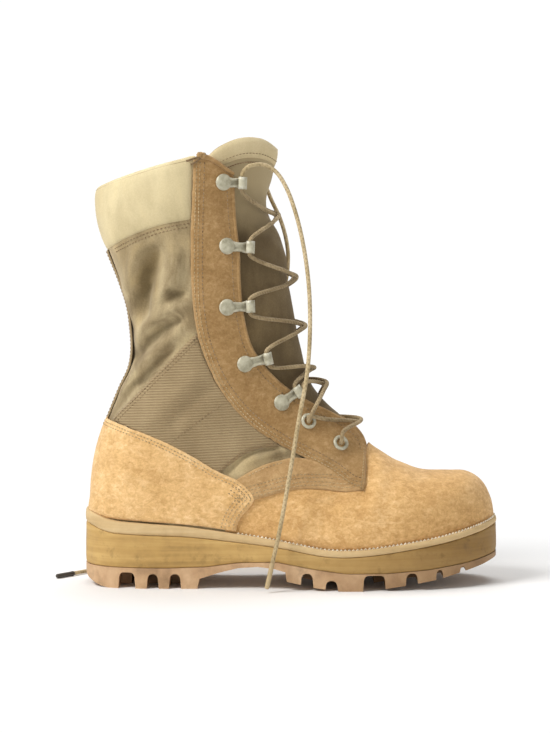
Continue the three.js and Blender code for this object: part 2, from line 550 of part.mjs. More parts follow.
// the two free ends: x, y, z from the top hook to the tip, and the aglets
const NEAR_END = table('x y z', [
  [120.5, -38, 303], [130.4, -34, 304.6], [139.5, -32, 300], [147, -32, 289],
  [155, -34, 267], [161.5, -38, 236], [164.4, -42, 203], [163, -46, 160],
  [156.5, -50, 122], [149.5, -54, 80], [143, -57, 44], [138, -58.5, 21.5]]);
const FAR_END = table('x y z', [
  [120.5, 38.5, 303], [129.5, 32, 295], [136, 23, 281], [142.5, 18.5, 267],
  [146.5, 22, 253], [148, 31, 239], [146, 40, 220], [138, 46, 192], [126, 49, 158],
  [112, 51, 120], [97, 53, 82], [78, 55, 46], [56, 56, 17], [34, 55, 4.5],
  [14, 50, 2.0], [-3, 38, 2.0], [-13, 24, 2.0]]);
const AGLET_L = 19, AGLET_R = 1.9;
function looseEnd(rows, side) {
  const b = bore(HOOKS[0], side);
  const points = [b.c.clone().addScaledVector(b.axis, GAP),
    b.c.clone().addScaledVector(b.axis, HOOK_W / 2 + 3.2),
    ...rows.map((r) => new THREE.Vector3(r.x, r.y, r.z))];
  const path = new THREE.CatmullRomCurve3(points, false, 'centripetal');
  const length = path.getLength();
  const tube1 = tube(points, LACE_R, 8, Math.min(46, Math.round(length / 8)));
  const end = points[points.length - 1], dir = path.getTangent(1);
  const aglet = lathe([[0, 0], [AGLET_R, 0], [AGLET_R, AGLET_L - 1], [AGLET_R * 0.6, AGLET_L], [0, AGLET_L]], 10);
  const z = dir.clone(), x = new THREE.Vector3(0, 1, 0).cross(z).normalize();
  aglet.applyMatrix4(new THREE.Matrix4().makeBasis(x, z.clone().cross(x), z)
    .setPosition(end.clone().addScaledVector(z, GAP)));
  return { tube: tube1, aglet: toSolid(aglet), length, points };
}
const near = looseEnd(NEAR_END, -1), far = looseEnd(FAR_END, 1);


// -------------------------------------------------------------------- object
const finish = {
  suede: { color: 0xc89a5e, roughness: 0.95, metalness: 0 },
  nylon: { color: 0xb9a777, roughness: 0.85, metalness: 0 },
  tongue: { color: 0x6f6248, roughness: 0.9, metalness: 0 },
  foam: { color: 0xc4a15c, roughness: 0.75, metalness: 0 },
  tread: { color: 0xc39a72, roughness: 0.8, metalness: 0 },
  welt: { color: 0xcdb27c, roughness: 0.8, metalness: 0 },
  paint: { color: 0xc4c2a6, roughness: 0.5, metalness: 0.1 },
  lace: { color: 0xb9a57c, roughness: 0.9, metalness: 0 },
};
const boot = new THREE.Group();
const add = (name, solid, look) => {
  const mesh = new THREE.Mesh(toGeometry(solid), new THREE.MeshStandardMaterial(finish[look]));
  mesh.name = name;
  boot.add(mesh);
  return mesh;
};
add('outsole', outsole, 'tread');
add('midsole', midsole, 'foam');
add('welt', welt, 'welt');
add('insole', insole, 'nylon');
add('upper', upper, 'nylon');
add('collar', collar, 'nylon');
add('heel_counter', counter, 'suede');
add('backstay', backstay, 'nylon');
for (const [name, side] of [['lateral', -1], ['medial', 1]]) {
  add(`eyestay_${name}`, eyestay(side), 'suede');
  add(`vamp_strap_${name}`, strap(side), 'suede');
  HOOKS.forEach((h, i) => add(`hook_${name}_${i + 1}`, hookSolid(h, side), 'paint'));
  EYELETS.forEach((e, i) => add(`eyelet_${name}_${i + 1}`, eyeletSolid(e, side), 'paint'));
}
add('tongue', tongue, 'tongue');
add('lace_crossings', lace, 'lace');
add('lace_end_near', near.tube, 'lace');
add('lace_end_far', far.tube, 'lace');
add('aglet_near', near.aglet, 'tongue');
add('aglet_far', far.aglet, 'tongue');

boot.position.set(...ORIGIN);
export default boot;
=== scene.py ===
import json, math
import bpy
import numpy as np
from mathutils import Vector, Matrix
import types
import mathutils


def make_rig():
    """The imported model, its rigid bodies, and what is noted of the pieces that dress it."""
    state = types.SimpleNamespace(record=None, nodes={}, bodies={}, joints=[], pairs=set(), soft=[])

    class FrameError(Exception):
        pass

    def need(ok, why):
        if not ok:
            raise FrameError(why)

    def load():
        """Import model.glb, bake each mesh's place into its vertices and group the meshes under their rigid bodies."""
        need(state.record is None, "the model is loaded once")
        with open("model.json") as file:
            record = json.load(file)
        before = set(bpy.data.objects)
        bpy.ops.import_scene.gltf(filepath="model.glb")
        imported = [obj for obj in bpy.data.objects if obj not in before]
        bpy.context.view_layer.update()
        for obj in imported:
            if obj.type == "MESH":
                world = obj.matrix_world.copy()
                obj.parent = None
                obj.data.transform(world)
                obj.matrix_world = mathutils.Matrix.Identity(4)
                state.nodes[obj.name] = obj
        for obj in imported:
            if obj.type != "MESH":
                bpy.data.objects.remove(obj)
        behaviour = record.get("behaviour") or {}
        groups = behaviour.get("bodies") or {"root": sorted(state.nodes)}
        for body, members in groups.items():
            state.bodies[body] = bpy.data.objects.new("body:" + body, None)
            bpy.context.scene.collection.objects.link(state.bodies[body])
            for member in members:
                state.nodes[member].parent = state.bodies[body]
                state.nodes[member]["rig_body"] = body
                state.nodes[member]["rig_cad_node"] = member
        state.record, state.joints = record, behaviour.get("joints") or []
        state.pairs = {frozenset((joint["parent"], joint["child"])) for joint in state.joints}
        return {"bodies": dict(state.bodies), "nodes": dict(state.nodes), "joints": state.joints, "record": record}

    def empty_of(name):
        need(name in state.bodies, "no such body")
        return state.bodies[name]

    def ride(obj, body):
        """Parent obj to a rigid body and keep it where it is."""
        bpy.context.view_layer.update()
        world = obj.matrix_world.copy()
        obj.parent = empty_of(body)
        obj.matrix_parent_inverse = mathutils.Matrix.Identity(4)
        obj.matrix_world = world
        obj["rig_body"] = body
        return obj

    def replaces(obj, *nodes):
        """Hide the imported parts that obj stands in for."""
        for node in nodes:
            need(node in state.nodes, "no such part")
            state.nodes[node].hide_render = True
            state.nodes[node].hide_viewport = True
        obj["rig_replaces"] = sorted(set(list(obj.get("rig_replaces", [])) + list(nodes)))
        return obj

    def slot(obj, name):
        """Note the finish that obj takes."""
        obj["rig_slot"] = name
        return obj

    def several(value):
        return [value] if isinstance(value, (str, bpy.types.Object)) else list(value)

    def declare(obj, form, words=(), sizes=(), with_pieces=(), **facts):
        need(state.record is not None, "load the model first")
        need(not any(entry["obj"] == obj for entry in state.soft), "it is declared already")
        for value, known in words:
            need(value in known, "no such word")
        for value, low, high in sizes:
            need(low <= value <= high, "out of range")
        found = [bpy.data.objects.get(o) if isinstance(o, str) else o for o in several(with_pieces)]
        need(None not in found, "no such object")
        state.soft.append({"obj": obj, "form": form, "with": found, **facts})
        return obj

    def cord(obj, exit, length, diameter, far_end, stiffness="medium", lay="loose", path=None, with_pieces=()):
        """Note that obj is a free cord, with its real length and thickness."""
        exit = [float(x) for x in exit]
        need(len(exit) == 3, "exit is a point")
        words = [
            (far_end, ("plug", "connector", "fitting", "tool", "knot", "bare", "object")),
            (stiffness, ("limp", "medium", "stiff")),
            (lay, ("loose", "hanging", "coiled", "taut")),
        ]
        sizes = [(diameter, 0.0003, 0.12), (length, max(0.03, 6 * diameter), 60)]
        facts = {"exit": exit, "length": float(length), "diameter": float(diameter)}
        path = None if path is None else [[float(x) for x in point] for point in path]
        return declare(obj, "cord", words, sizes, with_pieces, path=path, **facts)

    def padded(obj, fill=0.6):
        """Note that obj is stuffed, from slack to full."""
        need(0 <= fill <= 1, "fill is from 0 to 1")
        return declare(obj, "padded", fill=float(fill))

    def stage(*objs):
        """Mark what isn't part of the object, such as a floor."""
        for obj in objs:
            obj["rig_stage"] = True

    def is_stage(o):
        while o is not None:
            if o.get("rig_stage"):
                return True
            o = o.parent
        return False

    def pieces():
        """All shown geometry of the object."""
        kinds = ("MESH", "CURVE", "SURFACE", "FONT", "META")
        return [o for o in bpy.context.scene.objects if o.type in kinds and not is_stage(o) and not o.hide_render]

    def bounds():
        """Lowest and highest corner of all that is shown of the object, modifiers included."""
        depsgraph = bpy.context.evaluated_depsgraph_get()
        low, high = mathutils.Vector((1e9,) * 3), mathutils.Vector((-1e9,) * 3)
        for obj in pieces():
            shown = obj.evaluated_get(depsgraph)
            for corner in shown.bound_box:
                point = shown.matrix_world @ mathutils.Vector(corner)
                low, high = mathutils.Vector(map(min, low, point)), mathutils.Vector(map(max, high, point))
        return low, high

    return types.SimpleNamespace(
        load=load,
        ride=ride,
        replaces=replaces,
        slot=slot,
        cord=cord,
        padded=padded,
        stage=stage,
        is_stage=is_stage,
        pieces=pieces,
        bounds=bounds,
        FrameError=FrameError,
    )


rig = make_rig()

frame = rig.load()
CAD_BOX = [list(map(float, c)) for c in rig.bounds()]

# Right combat boot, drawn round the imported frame. Tables are in millimetres from the back of the heel and
# from the floor; OX, OY move them to the shared frame.
OX, OY = -150.7, -1.81
RNG = np.random.default_rng(7)
WALL, GAP, OVERLAY, TONGUE_T, INSOLE_T = 2.2, 0.3, 1.8, 2.8, 4.0
SOLE_MARGIN, TOE_START, TOE_HALF, TOE_TIP = 2.6, 232.0, 49.4, 300.6
TOE_SWEEP, TOE_CENTRE, TOE_POWER, WIDEST_Z = 9.25, 3.75, 1.95, 49.0
HOOK_R, HOOK_W, BORE_R, CURL_R, LACE_R = 6.0, 7.6, 2.6, 3.5, 1.5
EYELET_R, EYELET_BORE = 5.8, 3.3
H0 = GAP + OVERLAY + GAP
PI = math.pi


def table(names, rows):
    return [dict(zip(names.split(), r)) for r in rows]


SHAFT = table('ax az bx bz wl wm ya yb tm n1 n2', [ [144.0, 338.0, 1.0, 312.0, 44.0, 44.0, 0.0, 0.0, 0.56, 1.70, 2.10],
    [143.0, 316.0, 6.8, 291.0, 44.0, 44.0, 0.0, 0.0, 0.56, 1.65, 2.10],
    [139.0, 296.0, 10.0, 268.0, 44.0, 44.0, 0.0, 0.0, 0.55, 1.60, 2.10],
    [135.0, 277.0, 15.5, 247.0, 43.5, 43.5, 0.0, 0.0, 0.54, 1.60, 2.10],
    [143.0, 258.0, 24.5, 224.0, 43.0, 43.0, 0.0, 0.0, 0.55, 1.55, 2.05],
    [149.5, 240.0, 31.0, 204.0, 42.0, 42.0, 0.0, 0.0, 0.56, 1.55, 2.00],
    [151.0, 221.0, 33.5, 187.0, 41.0, 41.0, 0.0, 0.0, 0.56, 1.55, 2.00],
    [154.0, 203.0, 34.3, 171.0, 40.0, 40.0, 0.0, 0.0, 0.56, 1.58, 2.00],
    [157.5, 187.0, 32.0, 157.0, 39.5, 39.5, 0.0, 0.0, 0.56, 1.60, 2.05],
    [160.5, 173.0, 25.5, 143.0, 39.5, 39.0, 0.0, 0.0, 0.56, 1.65, 2.10],
    [163.0, 160.0, 18.5, 126.0, 39.5, 39.0, 0.0, 0.0, 0.56, 1.70, 2.15],
    [166.5, 149.5, 12.2, 110.0, 39.0, 38.5, 0.2, 0.0, 0.57, 1.75, 2.20],
    [172.5, 140.5, 8.0, 95.0, 38.5, 38.0, 0.4, 0.0, 0.58, 1.80, 2.25],
    [180.0, 132.5, 5.6, 80.0, 37.8, 37.2, 0.6, 0.0, 0.59, 1.85, 2.40],
    [187.5, 126.0, 4.7, 65.0, 37.4, 36.6, 0.8, 0.0, 0.60, 1.90, 2.70],
    [194.0, 120.0, 4.8, 48.0, 37.6, 36.8, 1.0, 0.0, 0.61, 1.90, 3.20],
    [199.5, 114.5, 22.0, 33.0, 38.6, 37.6, 1.2, -0.7, 0.62, 1.90, 3.20],
    [203.5, 109.0, 58.0, 30.0, 38.6, 36.4, 1.4, -1.8, 0.64, 1.90, 3.20],
    [207.5, 103.5, 98.0, 27.0, 37.6, 35.4, 1.6, -3.0, 0.66, 1.85, 3.20],
    [213.5, 98.7, 136.0, 22.0, 41.4, 40.0, 2.0, -3.6, 0.65, 1.85, 3.20],
    [222.0, 93.5, 172.0, 17.0, 47.6, 46.6, 2.4, -2.0, 0.63, 1.95, 3.20],
    [232.0, 88.5, 204.0, 15.0, 50.6, 50.4, 3.2, 1.0, 0.60, 2.05, 3.20],
    [242.0, 84.5, 225.0, 16.5, 50.2, 50.2, 4.4, 3.2, 0.57, 2.15, 3.20], ])
TOE_TOP = table('x z', [ [242, 84.5],[251, 82.2],[262, 81.3],[272, 81.6],[279, 81.4],[285.5, 79.4],[290.5, 75.6],[294.5, 70.9],
    [297.6, 65.0],[299.4, 59.0],[300.6, 51.0]])
FEATHER = table('x z', [ [-6, 57.0],[4.7, 53.6],[18, 49.3],[42.5, 47.0],[70.7, 45.2],[89.6, 43.0],[108.5, 40.2],[137, 36.2],
    [155, 32.8],[174, 29.6],[190, 28.9],[212, 30.5],[238, 34.0],[264, 38.4],[289.5, 44.2],[308, 49.8]])
TREAD = table('x z', [ [-6, 15.2],[60, 14.6],[90, 15.6],[113, 18.8],[141, 19.8],[165, 15.6],[190, 12.4],[220, 12.4],[250, 14.4],
    [280, 18.0],[308, 23.4]])
WELT_H = table('x h', [ [-6, 9.5],[40, 8.5],[108, 6.2],[150, 4.8],[308, 4.6]])
OUTLINE = table('x outer inner', [ [-0.6, 0.0, 0.0],[0.6, -11.0, 11.0],[4.0, -20.0, 20.0],[11, -29.5, 29.5],[22, -36.5, 36.2],
    [40, -40.3, 39.6],[65, -41.0, 38.8],[90, -40.6, 36.6],[115, -42.0, 35.6],[140, -46.2, 38.4],
    [165, -50.6, 44.6],[190, -52.9, 50.8],[212, -51.8, 54.6],[232, -48.25, 55.75]])
GROUND = table('x z', [ [-6, 9.5],[-0.6, 8.6],[2.8, 5.5],[8, 2.8],[13, 1.1],[19, 0],[83.5, 0],[85, 7.2],[99, 11.7],[113, 15.2],
    [127, 16.4],[139, 15.2],[147, 13.0],[148, 6.3],[158, 4.3],[167, 2.4],[180, 0.8],[188, 0],[204, 0],
    [212, 0.7],[219, 1.8],[233, 3.6],[242, 5.0],[255, 7.0],[262, 8.6],[273, 11.2],[290, 15.2],[308, 20.6]])
GROOVES = table('from to top', [ [26.5, 38.7, 11.6],[47.2, 55.6, 10.6],[63.2, 71.7, 10.6],[158, 167, 12.4],[175.5, 184.5, 7.6],
    [202.6, 218.6, 11.4],[233, 242, 12.4],[255, 260.4, 14.2],[272.6, 277.4, 15.4]])
COLLAR_TOP = table('x z', [ [-10, 282.4],[7.8, 287.5],[30, 294.5],[56, 302],[81, 308.6],[86, 311.5],[92, 309.5],[109, 297.6],
    [114, 294.5]])
COLLAR_SEAM = table('x z', [ [0, 236.5],[17.8, 244.5],[30, 250.4],[43.5, 256],[60, 261.2],[78.6, 264.6]])
EYESTAY_REAR = table('x z', [ [81.2, 309.5],[79.8, 270],[79.6, 240],[80.6, 205],[84.7, 179],[94, 153.5],[101, 141],[112.6, 126],
    [125, 114.6],[143.8, 102.2],[160, 93.5],[176, 85],[186, 78],[194, 72.5],[203, 70.4]])
THROAT = table('x z', [ [109.4, 297.4],[109.4, 281],[110.6, 262],[113.0, 242],[113.7, 219.6],[116, 197],[121.5, 175],[127.6, 164.6],
    [135, 155],[148, 142.9],[163.8, 133.0],[179.4, 125.2],[195, 115.6],[203, 106.4],[205.6, 99]])
COUNTER = table('x z', [ [-12, 124],[4, 122.6],[16.7, 120.4],[32.3, 116],[54.6, 108],[77, 97],[99, 83.8],[112.6, 77.6],[121, 70.6],
    [124.4, 64.4],[121, 58.6],[116.8, 54],[112.6, 47],[110.3, 34]])
STRAP_TOP = table('x z', [ [124.9, 86.0],[134, 89.6],[143.8, 92.3],[152, 93.8],[158, 93.4]])
STRAP_LOW = table('x z', [ [126.0, 64.4],[133, 66.2],[141.5, 68.6],[157, 71.6],[172, 71.4],[192, 69.8]])
TONGUE_TOP = table('x z', [ [93, 311],[99, 316.4],[106, 320.4],[114, 323.6],[122, 325],[129, 324.4],[135, 322],[139, 318.6],[141, 314.6],[141.3, 310]])
TONGUE_REAR = table('x z', [ [93, 311],[93, 285],[95.5, 245],[97, 210],[102, 178],[112, 158],[128, 141],[146, 130],[164, 121.5],
    [180, 113.5],[192, 104.5],[199, 94],[208, 88]])
HOOKS = table('x z lx lz', [ [101.4, 292.0, 114.6, 291.4],[104.0, 246.0, 120.4, 245.4],[104.3, 202.4, 120.6, 203.0],
    [117.0, 161.6, 133.2, 165.2],[143.1, 133.0, 155.2, 140.6]])
EYELETS = table('x z', [[162.7, 119.3],[186.1, 103.0]])
NEAR_END = table('x y z', [ [120.5, -38, 303],[130.4, -34, 304.6],[139.5, -32, 300],[147, -32, 289],[155, -34, 267],[161.5, -38, 236],
    [164.4, -42, 203],[163, -46, 160],[156.5, -50, 122],[149.5, -54, 80],[143, -57, 44],[138, -58.5, 21.5]])
FAR_END = table('x y z', [ [120.5, 38.5, 303],[129.5, 32, 295],[136, 23, 281],[142.5, 18.5, 267],[146.5, 22, 253],[148, 31, 239],
    [146, 40, 220],[138, 46, 192],[126, 49, 158],[112, 51, 120],[97, 53, 82],[78, 55, 46],[56, 56, 17],
    [34, 55, 4.5],[14, 50, 2.0],[-3, 38, 2.0],[-13, 24, 2.0]])
TOE_ANGLES = [18, 31, 43, 54, 65, 77, 90]


def level(rows, key, x):
    return np.interp(x, [r["x"] for r in rows], [r[key] for r in rows])


def catmull(P, per=12):
    """A smooth line through points, centripetal, per steps a span."""
    P = np.asarray(P, float)
    A = np.vstack([2 * P[0] - P[1], P, 2 * P[-1] - P[-2]])
    out = []
    for i in range(1, len(A) - 2):
        p0, p1, p2, p3 = A[i - 1], A[i], A[i + 1], A[i + 2]
        t0 = 0.0
        t1 = t0 + max(np.linalg.norm(p1 - p0), 1e-6) ** 0.5
        t2 = t1 + max(np.linalg.norm(p2 - p1), 1e-6) ** 0.5
        t3 = t2 + max(np.linalg.norm(p3 - p2), 1e-6) ** 0.5
        for k in range(per + (i == len(A) - 3)):
            t = t1 + (t2 - t1) * k / per
            a1 = (t1 - t) / (t1 - t0) * p0 + (t - t0) / (t1 - t0) * p1
            a2 = (t2 - t) / (t2 - t1) * p1 + (t - t1) / (t2 - t1) * p2
            a3 = (t3 - t) / (t3 - t2) * p2 + (t - t2) / (t3 - t2) * p3
            b1 = (t2 - t) / (t2 - t0) * a1 + (t - t0) / (t2 - t0) * a2
            b2 = (t3 - t) / (t3 - t1) * a2 + (t - t1) / (t3 - t1) * a3
            out.append((t2 - t) / (t2 - t1) * b1 + (t - t1) / (t2 - t1) * b2)
    return np.array(out)


def resample(P, n):
    P = np.asarray(P, float)
    d = np.r_[0, np.cumsum(np.linalg.norm(np.diff(P, axis=0), axis=1))]
    u = np.linspace(0, d[-1], n)
    return np.stack([np.interp(u, d, P[:, k]) for k in range(P.shape[1])], 1)


def line(rows, n, keys=("x", "z")):
    return resample(catmull([[r[k] for k in keys] for r in rows]), n)


# ---- the last: same function as the part's source
def toe_half(x, half, tip):
    return half * np.maximum(0, 1 - np.minimum(1, np.maximum(0, (x - TOE_START) / (tip - TOE_START))) ** TOE_POWER) ** (1 / TOE_POWER)


def toe_centre(x):
    return TOE_CENTRE + TOE_SWEEP * (x - TOE_START) / (TOE_TIP - TOE_START)


ROWS = list(SHAFT)
for ang in TOE_ANGLES:
    x = TOE_START + (TOE_TIP - TOE_START) * math.sin(math.radians(ang))
    az = float(level(TOE_TOP, "z", x)); bz = 16.5 + (x - 225) * 0.1
    w = 0.0 if ang == 90 else float(toe_half(x, TOE_HALF, TOE_TIP)) * 1.012
    ROWS.append(dict(ax=x, az=az, bx=x - 8 * math.cos(math.radians(ang)), bz=bz, wl=w, wm=w, ya=toe_centre(x),
                     yb=toe_centre(x), tm=max(0.12, (az - WIDEST_Z) / (az - bz)), n1=2.2, n2=3.2))
LAST = len(ROWS) - 1
COL = {k: np.array([r[k] for r in ROWS], float) for k in ROWS[0]}


def col(key, s):
    a = COL[key]; n = LAST
    i = np.clip(np.floor(s).astype(int), 0, n - 1); f = s - i
    g = lambda k: a[np.clip(k, 0, n)]
    p0, p1, p2, p3 = g(i - 1), g(i), g(i + 1), g(i + 2)
    return 0.5 * (2 * p1 + (p2 - p0) * f + (2 * p0 - 5 * p1 + 4 * p2 - p3) * f * f + (3 * p1 - p0 - 3 * p2 + p3) * f ** 3)


def section(s, phi):
    s = np.asarray(s, float); phi = np.mod(np.asarray(phi, float), 2 * PI)
    s, phi = np.broadcast_arrays(s, phi)
    s = np.clip(s, 0, LAST)
    outer = phi <= PI
    a = np.where(outer, phi, 2 * PI - phi)
    f1 = a < PI / 2
    n = np.where(f1, col("n1", s), col("n2", s))
    c, d = np.abs(np.cos(a)), np.abs(np.sin(a))
    r = (c ** n + d ** n) ** (-1 / n)
    tm = col("tm", s)
    t = np.where(f1, tm * (1 - r * c), tm + (1 - tm) * r * c)
    w = np.maximum(0, np.where(outer, col("wl", s), col("wm", s)))
    x = col("ax", s) + (col("bx", s) - col("ax", s)) * t
    y = col("ya", s) + (col("yb", s) - col("ya", s)) * t + np.where(outer, -1, 1) * w * r * d
    z = col("az", s) + (col("bz", s) - col("az", s)) * t
    return np.stack([x, y, z], -1)


def normal(s, phi):
    s = np.asarray(s, float); phi = np.asarray(phi, float)
    s, phi = np.broadcast_arrays(s, phi)
    du = section(np.minimum(s + 0.02, LAST), phi) - section(np.maximum(s - 0.02, 0), phi)
    dv = section(s, phi + 0.01) - section(s, phi - 0.01)
    n = -np.cross(du, dv)
    n /= np.maximum(np.linalg.norm(n, axis=-1, keepdims=True), 1e-9)
    n = np.where((s > LAST - 0.02)[..., None], np.array([1.0, 0, 0]), n)
    return n


# main creases of the nylon shaft: soft troughs (depth < 0) and ridges along lines on its side
CREASES = [  # width, depth, points (x, z)
    (6.2, -8.6, [(41, 198), (43, 212), (48, 226), (53, 241)]),
    (4.5, -2.6, [(38, 190), (40, 204), (44, 218)]),
    (5.6, 4.0, [(30, 196), (31, 212), (36, 228), (42, 242)]),
    (7.5, 3.2, [(56, 200), (61, 214), (67, 230), (70, 244)]),
    (3.8, -4.4, [(60, 205), (66, 210.5), (75, 213)]),
    (4.6, 2.4, [(58, 196), (66, 201), (76, 205)]),
    (4.0, -5.0, [(36, 166), (46, 176), (57, 186), (71, 194)]),
    (4.0, 2.6, [(37, 178), (45, 188), (54, 196)]),
    (3.0, -3.0, [(25, 131), (38, 147), (52, 160), (66, 172)]),
    (4.2, 2.6, [(28, 141), (40, 155), (54, 170), (70, 184)]),
    (3.0, -2.4, [(31, 160), (34, 172), (35, 188)]),
    (5.0, -1.4, [(66, 118), (84, 136), (96, 146)]),
    (6.0, 1.4, [(48, 118), (70, 140), (86, 156)]),
    (2.4, -2.8, [(106, 84), (114, 92.5), (124, 98), (140, 100.5)]),
    (3.0, 1.8, [(118, 90.5), (130, 95), (146, 97)]),
    (1.8, -2.6, [(138, 94.5), (150, 95.5), (160, 94.6), (170, 92)]),
]
VAMP_CREASES = [
    (7.0, -0.9, [(206, 92), (205, 78), (200, 60)]),
    (8.0, -0.7, [(226, 92), (224, 76), (216, 56)]),
    (9.0, -0.5, [(246, 84), (243, 68), (238, 50)]),
    (5.0, 0.7, [(198, 88), (196, 72), (190, 56)]),
    (6.0, 0.6, [(216, 88), (214, 70), (208, 52)]),
]


def dist(P, Q):
    """Distance in the side view from points P (.., 2) to polyline Q."""
    best = np.full(P.shape[:-1], 1e9)
    for a, b in zip(Q[:-1], Q[1:]):
        ab = b - a
        t = np.clip(((P - a) @ ab) / (ab @ ab), 0, 1)
        best = np.minimum(best, np.linalg.norm(P - (a + t[..., None] * ab), axis=-1))
    return best


def end_fade(P, Q):
    a, b = Q[0], Q[-1]
    t = ((P - a) @ (b - a)) / ((b - a) @ (b - a))
    return np.clip((t + 0.25) / 0.3, 0, 1) * np.clip((1.25 - t) / 0.3, 0, 1)


def creases(p, phi, k=1.0):
    P = p[..., [0, 2]]
    side = np.abs(np.sin(phi)) ** 0.5
    h = np.zeros(P.shape[:-1])
    med = np.sin(phi) < 0
    for w, dep, pts in CREASES:
        Q = catmull(pts, 6)
        Pm = P + np.where(med[..., None], np.array([3.0, 5.0]), 0.0)
        h += dep * np.exp(-(dist(Pm, Q) / w) ** 2) * end_fade(Pm, Q)
    h *= side
    for w, dep, pts in VAMP_CREASES:
        Q = catmull(pts, 6)
        h += dep * np.exp(-(dist(P, Q) / w) ** 2)
    # low lumps everywhere
    h += 0.35 * np.sin(P[..., 0] * 0.11 + P[..., 1] * 0.05) * np.sin(P[..., 1] * 0.09 + 1.3)
    return h * k


def surf(s, phi, off, crease=0.0):
    p = section(s, phi)
    n = normal(s, phi)
    o = np.asarray(off, float)
    if crease:
        o = o + creases(p, phi, crease)
    return p + n * (o[..., None] if o.ndim else o)


# side-view point to surface coordinates of the outer half
_S, _F = np.meshgrid(np.linspace(0, LAST, 420), np.linspace(0, PI, 181), indexing="ij")
_G = section(_S, _F)[..., [0, 2]].reshape(-1, 2)
_SF = np.stack([_S.ravel(), _F.ravel()], 1)


def locate(P):
    P = np.atleast_2d(np.asarray(P, float)); out = []
    for q in P:
        i = np.argmin(((_G - q) ** 2).sum(1)); out.append(_SF[i])
    S = np.array(out); s, f = S[:, 0].copy(), S[:, 1].copy()
    for _ in range(10):
        p = section(s, f)[:, [0, 2]]
        ps = (section(s + 0.01, f)[:, [0, 2]] - p) / 0.01
        pf = (section(s, f + 0.005)[:, [0, 2]] - p) / 0.005
        det = ps[:, 0] * pf[:, 1] - pf[:, 0] * ps[:, 1]
        r = P - p
        ok = np.abs(det) > 0.5
        det = np.where(ok, det, 1)
        ds = np.where(ok, (r[:, 0] * pf[:, 1] - pf[:, 0] * r[:, 1]) / det, 0)
        df = np.where(ok, (ps[:, 0] * r[:, 1] - r[:, 0] * ps[:, 1]) / det, 0)
        s2 = np.clip(s + np.clip(ds, -0.3, 0.3), 0, LAST); f2 = np.clip(f + np.clip(df, -0.1, 0.1), 0, PI)
        e1 = ((section(s, f)[:, [0, 2]] - P) ** 2).sum(1); e2 = ((section(s2, f2)[:, [0, 2]] - P) ** 2).sum(1)
        b = e2 < e1
        s = np.where(b, s2, s); f = np.where(b, f2, f)
    return np.stack([s, f], 1)


# ---- mesh helpers
def to_m(P):
    return (np.asarray(P, float) + np.array([OX, OY, 0.0])) * 0.001


def mesh(name, V, F, mats, smooth=True, idx=None):
    me = bpy.data.meshes.new(name)
    me.from_pydata(to_m(V).tolist(), [], [tuple(f) for f in F])
    me.validate()
    for m in mats:
        me.materials.append(m)
    if idx is not None:
        me.polygons.foreach_set("material_index", list(idx))
    me.polygons.foreach_set("use_smooth", [smooth] * len(me.polygons))
    ob = bpy.data.objects.new(name, me)
    bpy.context.scene.collection.objects.link(ob)
    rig.ride(ob, "root")
    return ob


def grid_faces(nu, nv, base=0, wrap_v=False, flip=False):
    F = []
    for i in range(nu - 1):
        for j in range(nv if wrap_v else nv - 1):
            a = base + i * nv + j; b = base + i * nv + (j + 1) % nv
            c = base + (i + 1) * nv + (j + 1) % nv; d = base + (i + 1) * nv + j
            F.append((a, d, c, b) if flip else (a, b, c, d))
    return F


def fix_normals(ob):
    import bmesh
    bm = bmesh.new(); bm.from_mesh(ob.data)
    bmesh.ops.remove_doubles(bm, verts=bm.verts, dist=1e-7)
    bmesh.ops.recalc_face_normals(bm, faces=bm.faces)
    bm.to_mesh(ob.data); bm.free()


def coons(B, T, L, R, nu, nv):
    """Grid nu x nv between bottom, top (length nv) and left, right (length nu) lines."""
    B, T = resample(B, nv), resample(T, nv); L, R = resample(L, nu), resample(R, nu)
    u = np.linspace(0, 1, nu)[:, None, None]; v = np.linspace(0, 1, nv)[None, :, None]
    return ((1 - u) * B[None] + u * T[None] + (1 - v) * L[:, None] + v * R[:, None]
            - ((1 - u) * (1 - v) * B[0] + (1 - u) * v * B[-1] + u * (1 - v) * T[0] + u * v * T[-1]))


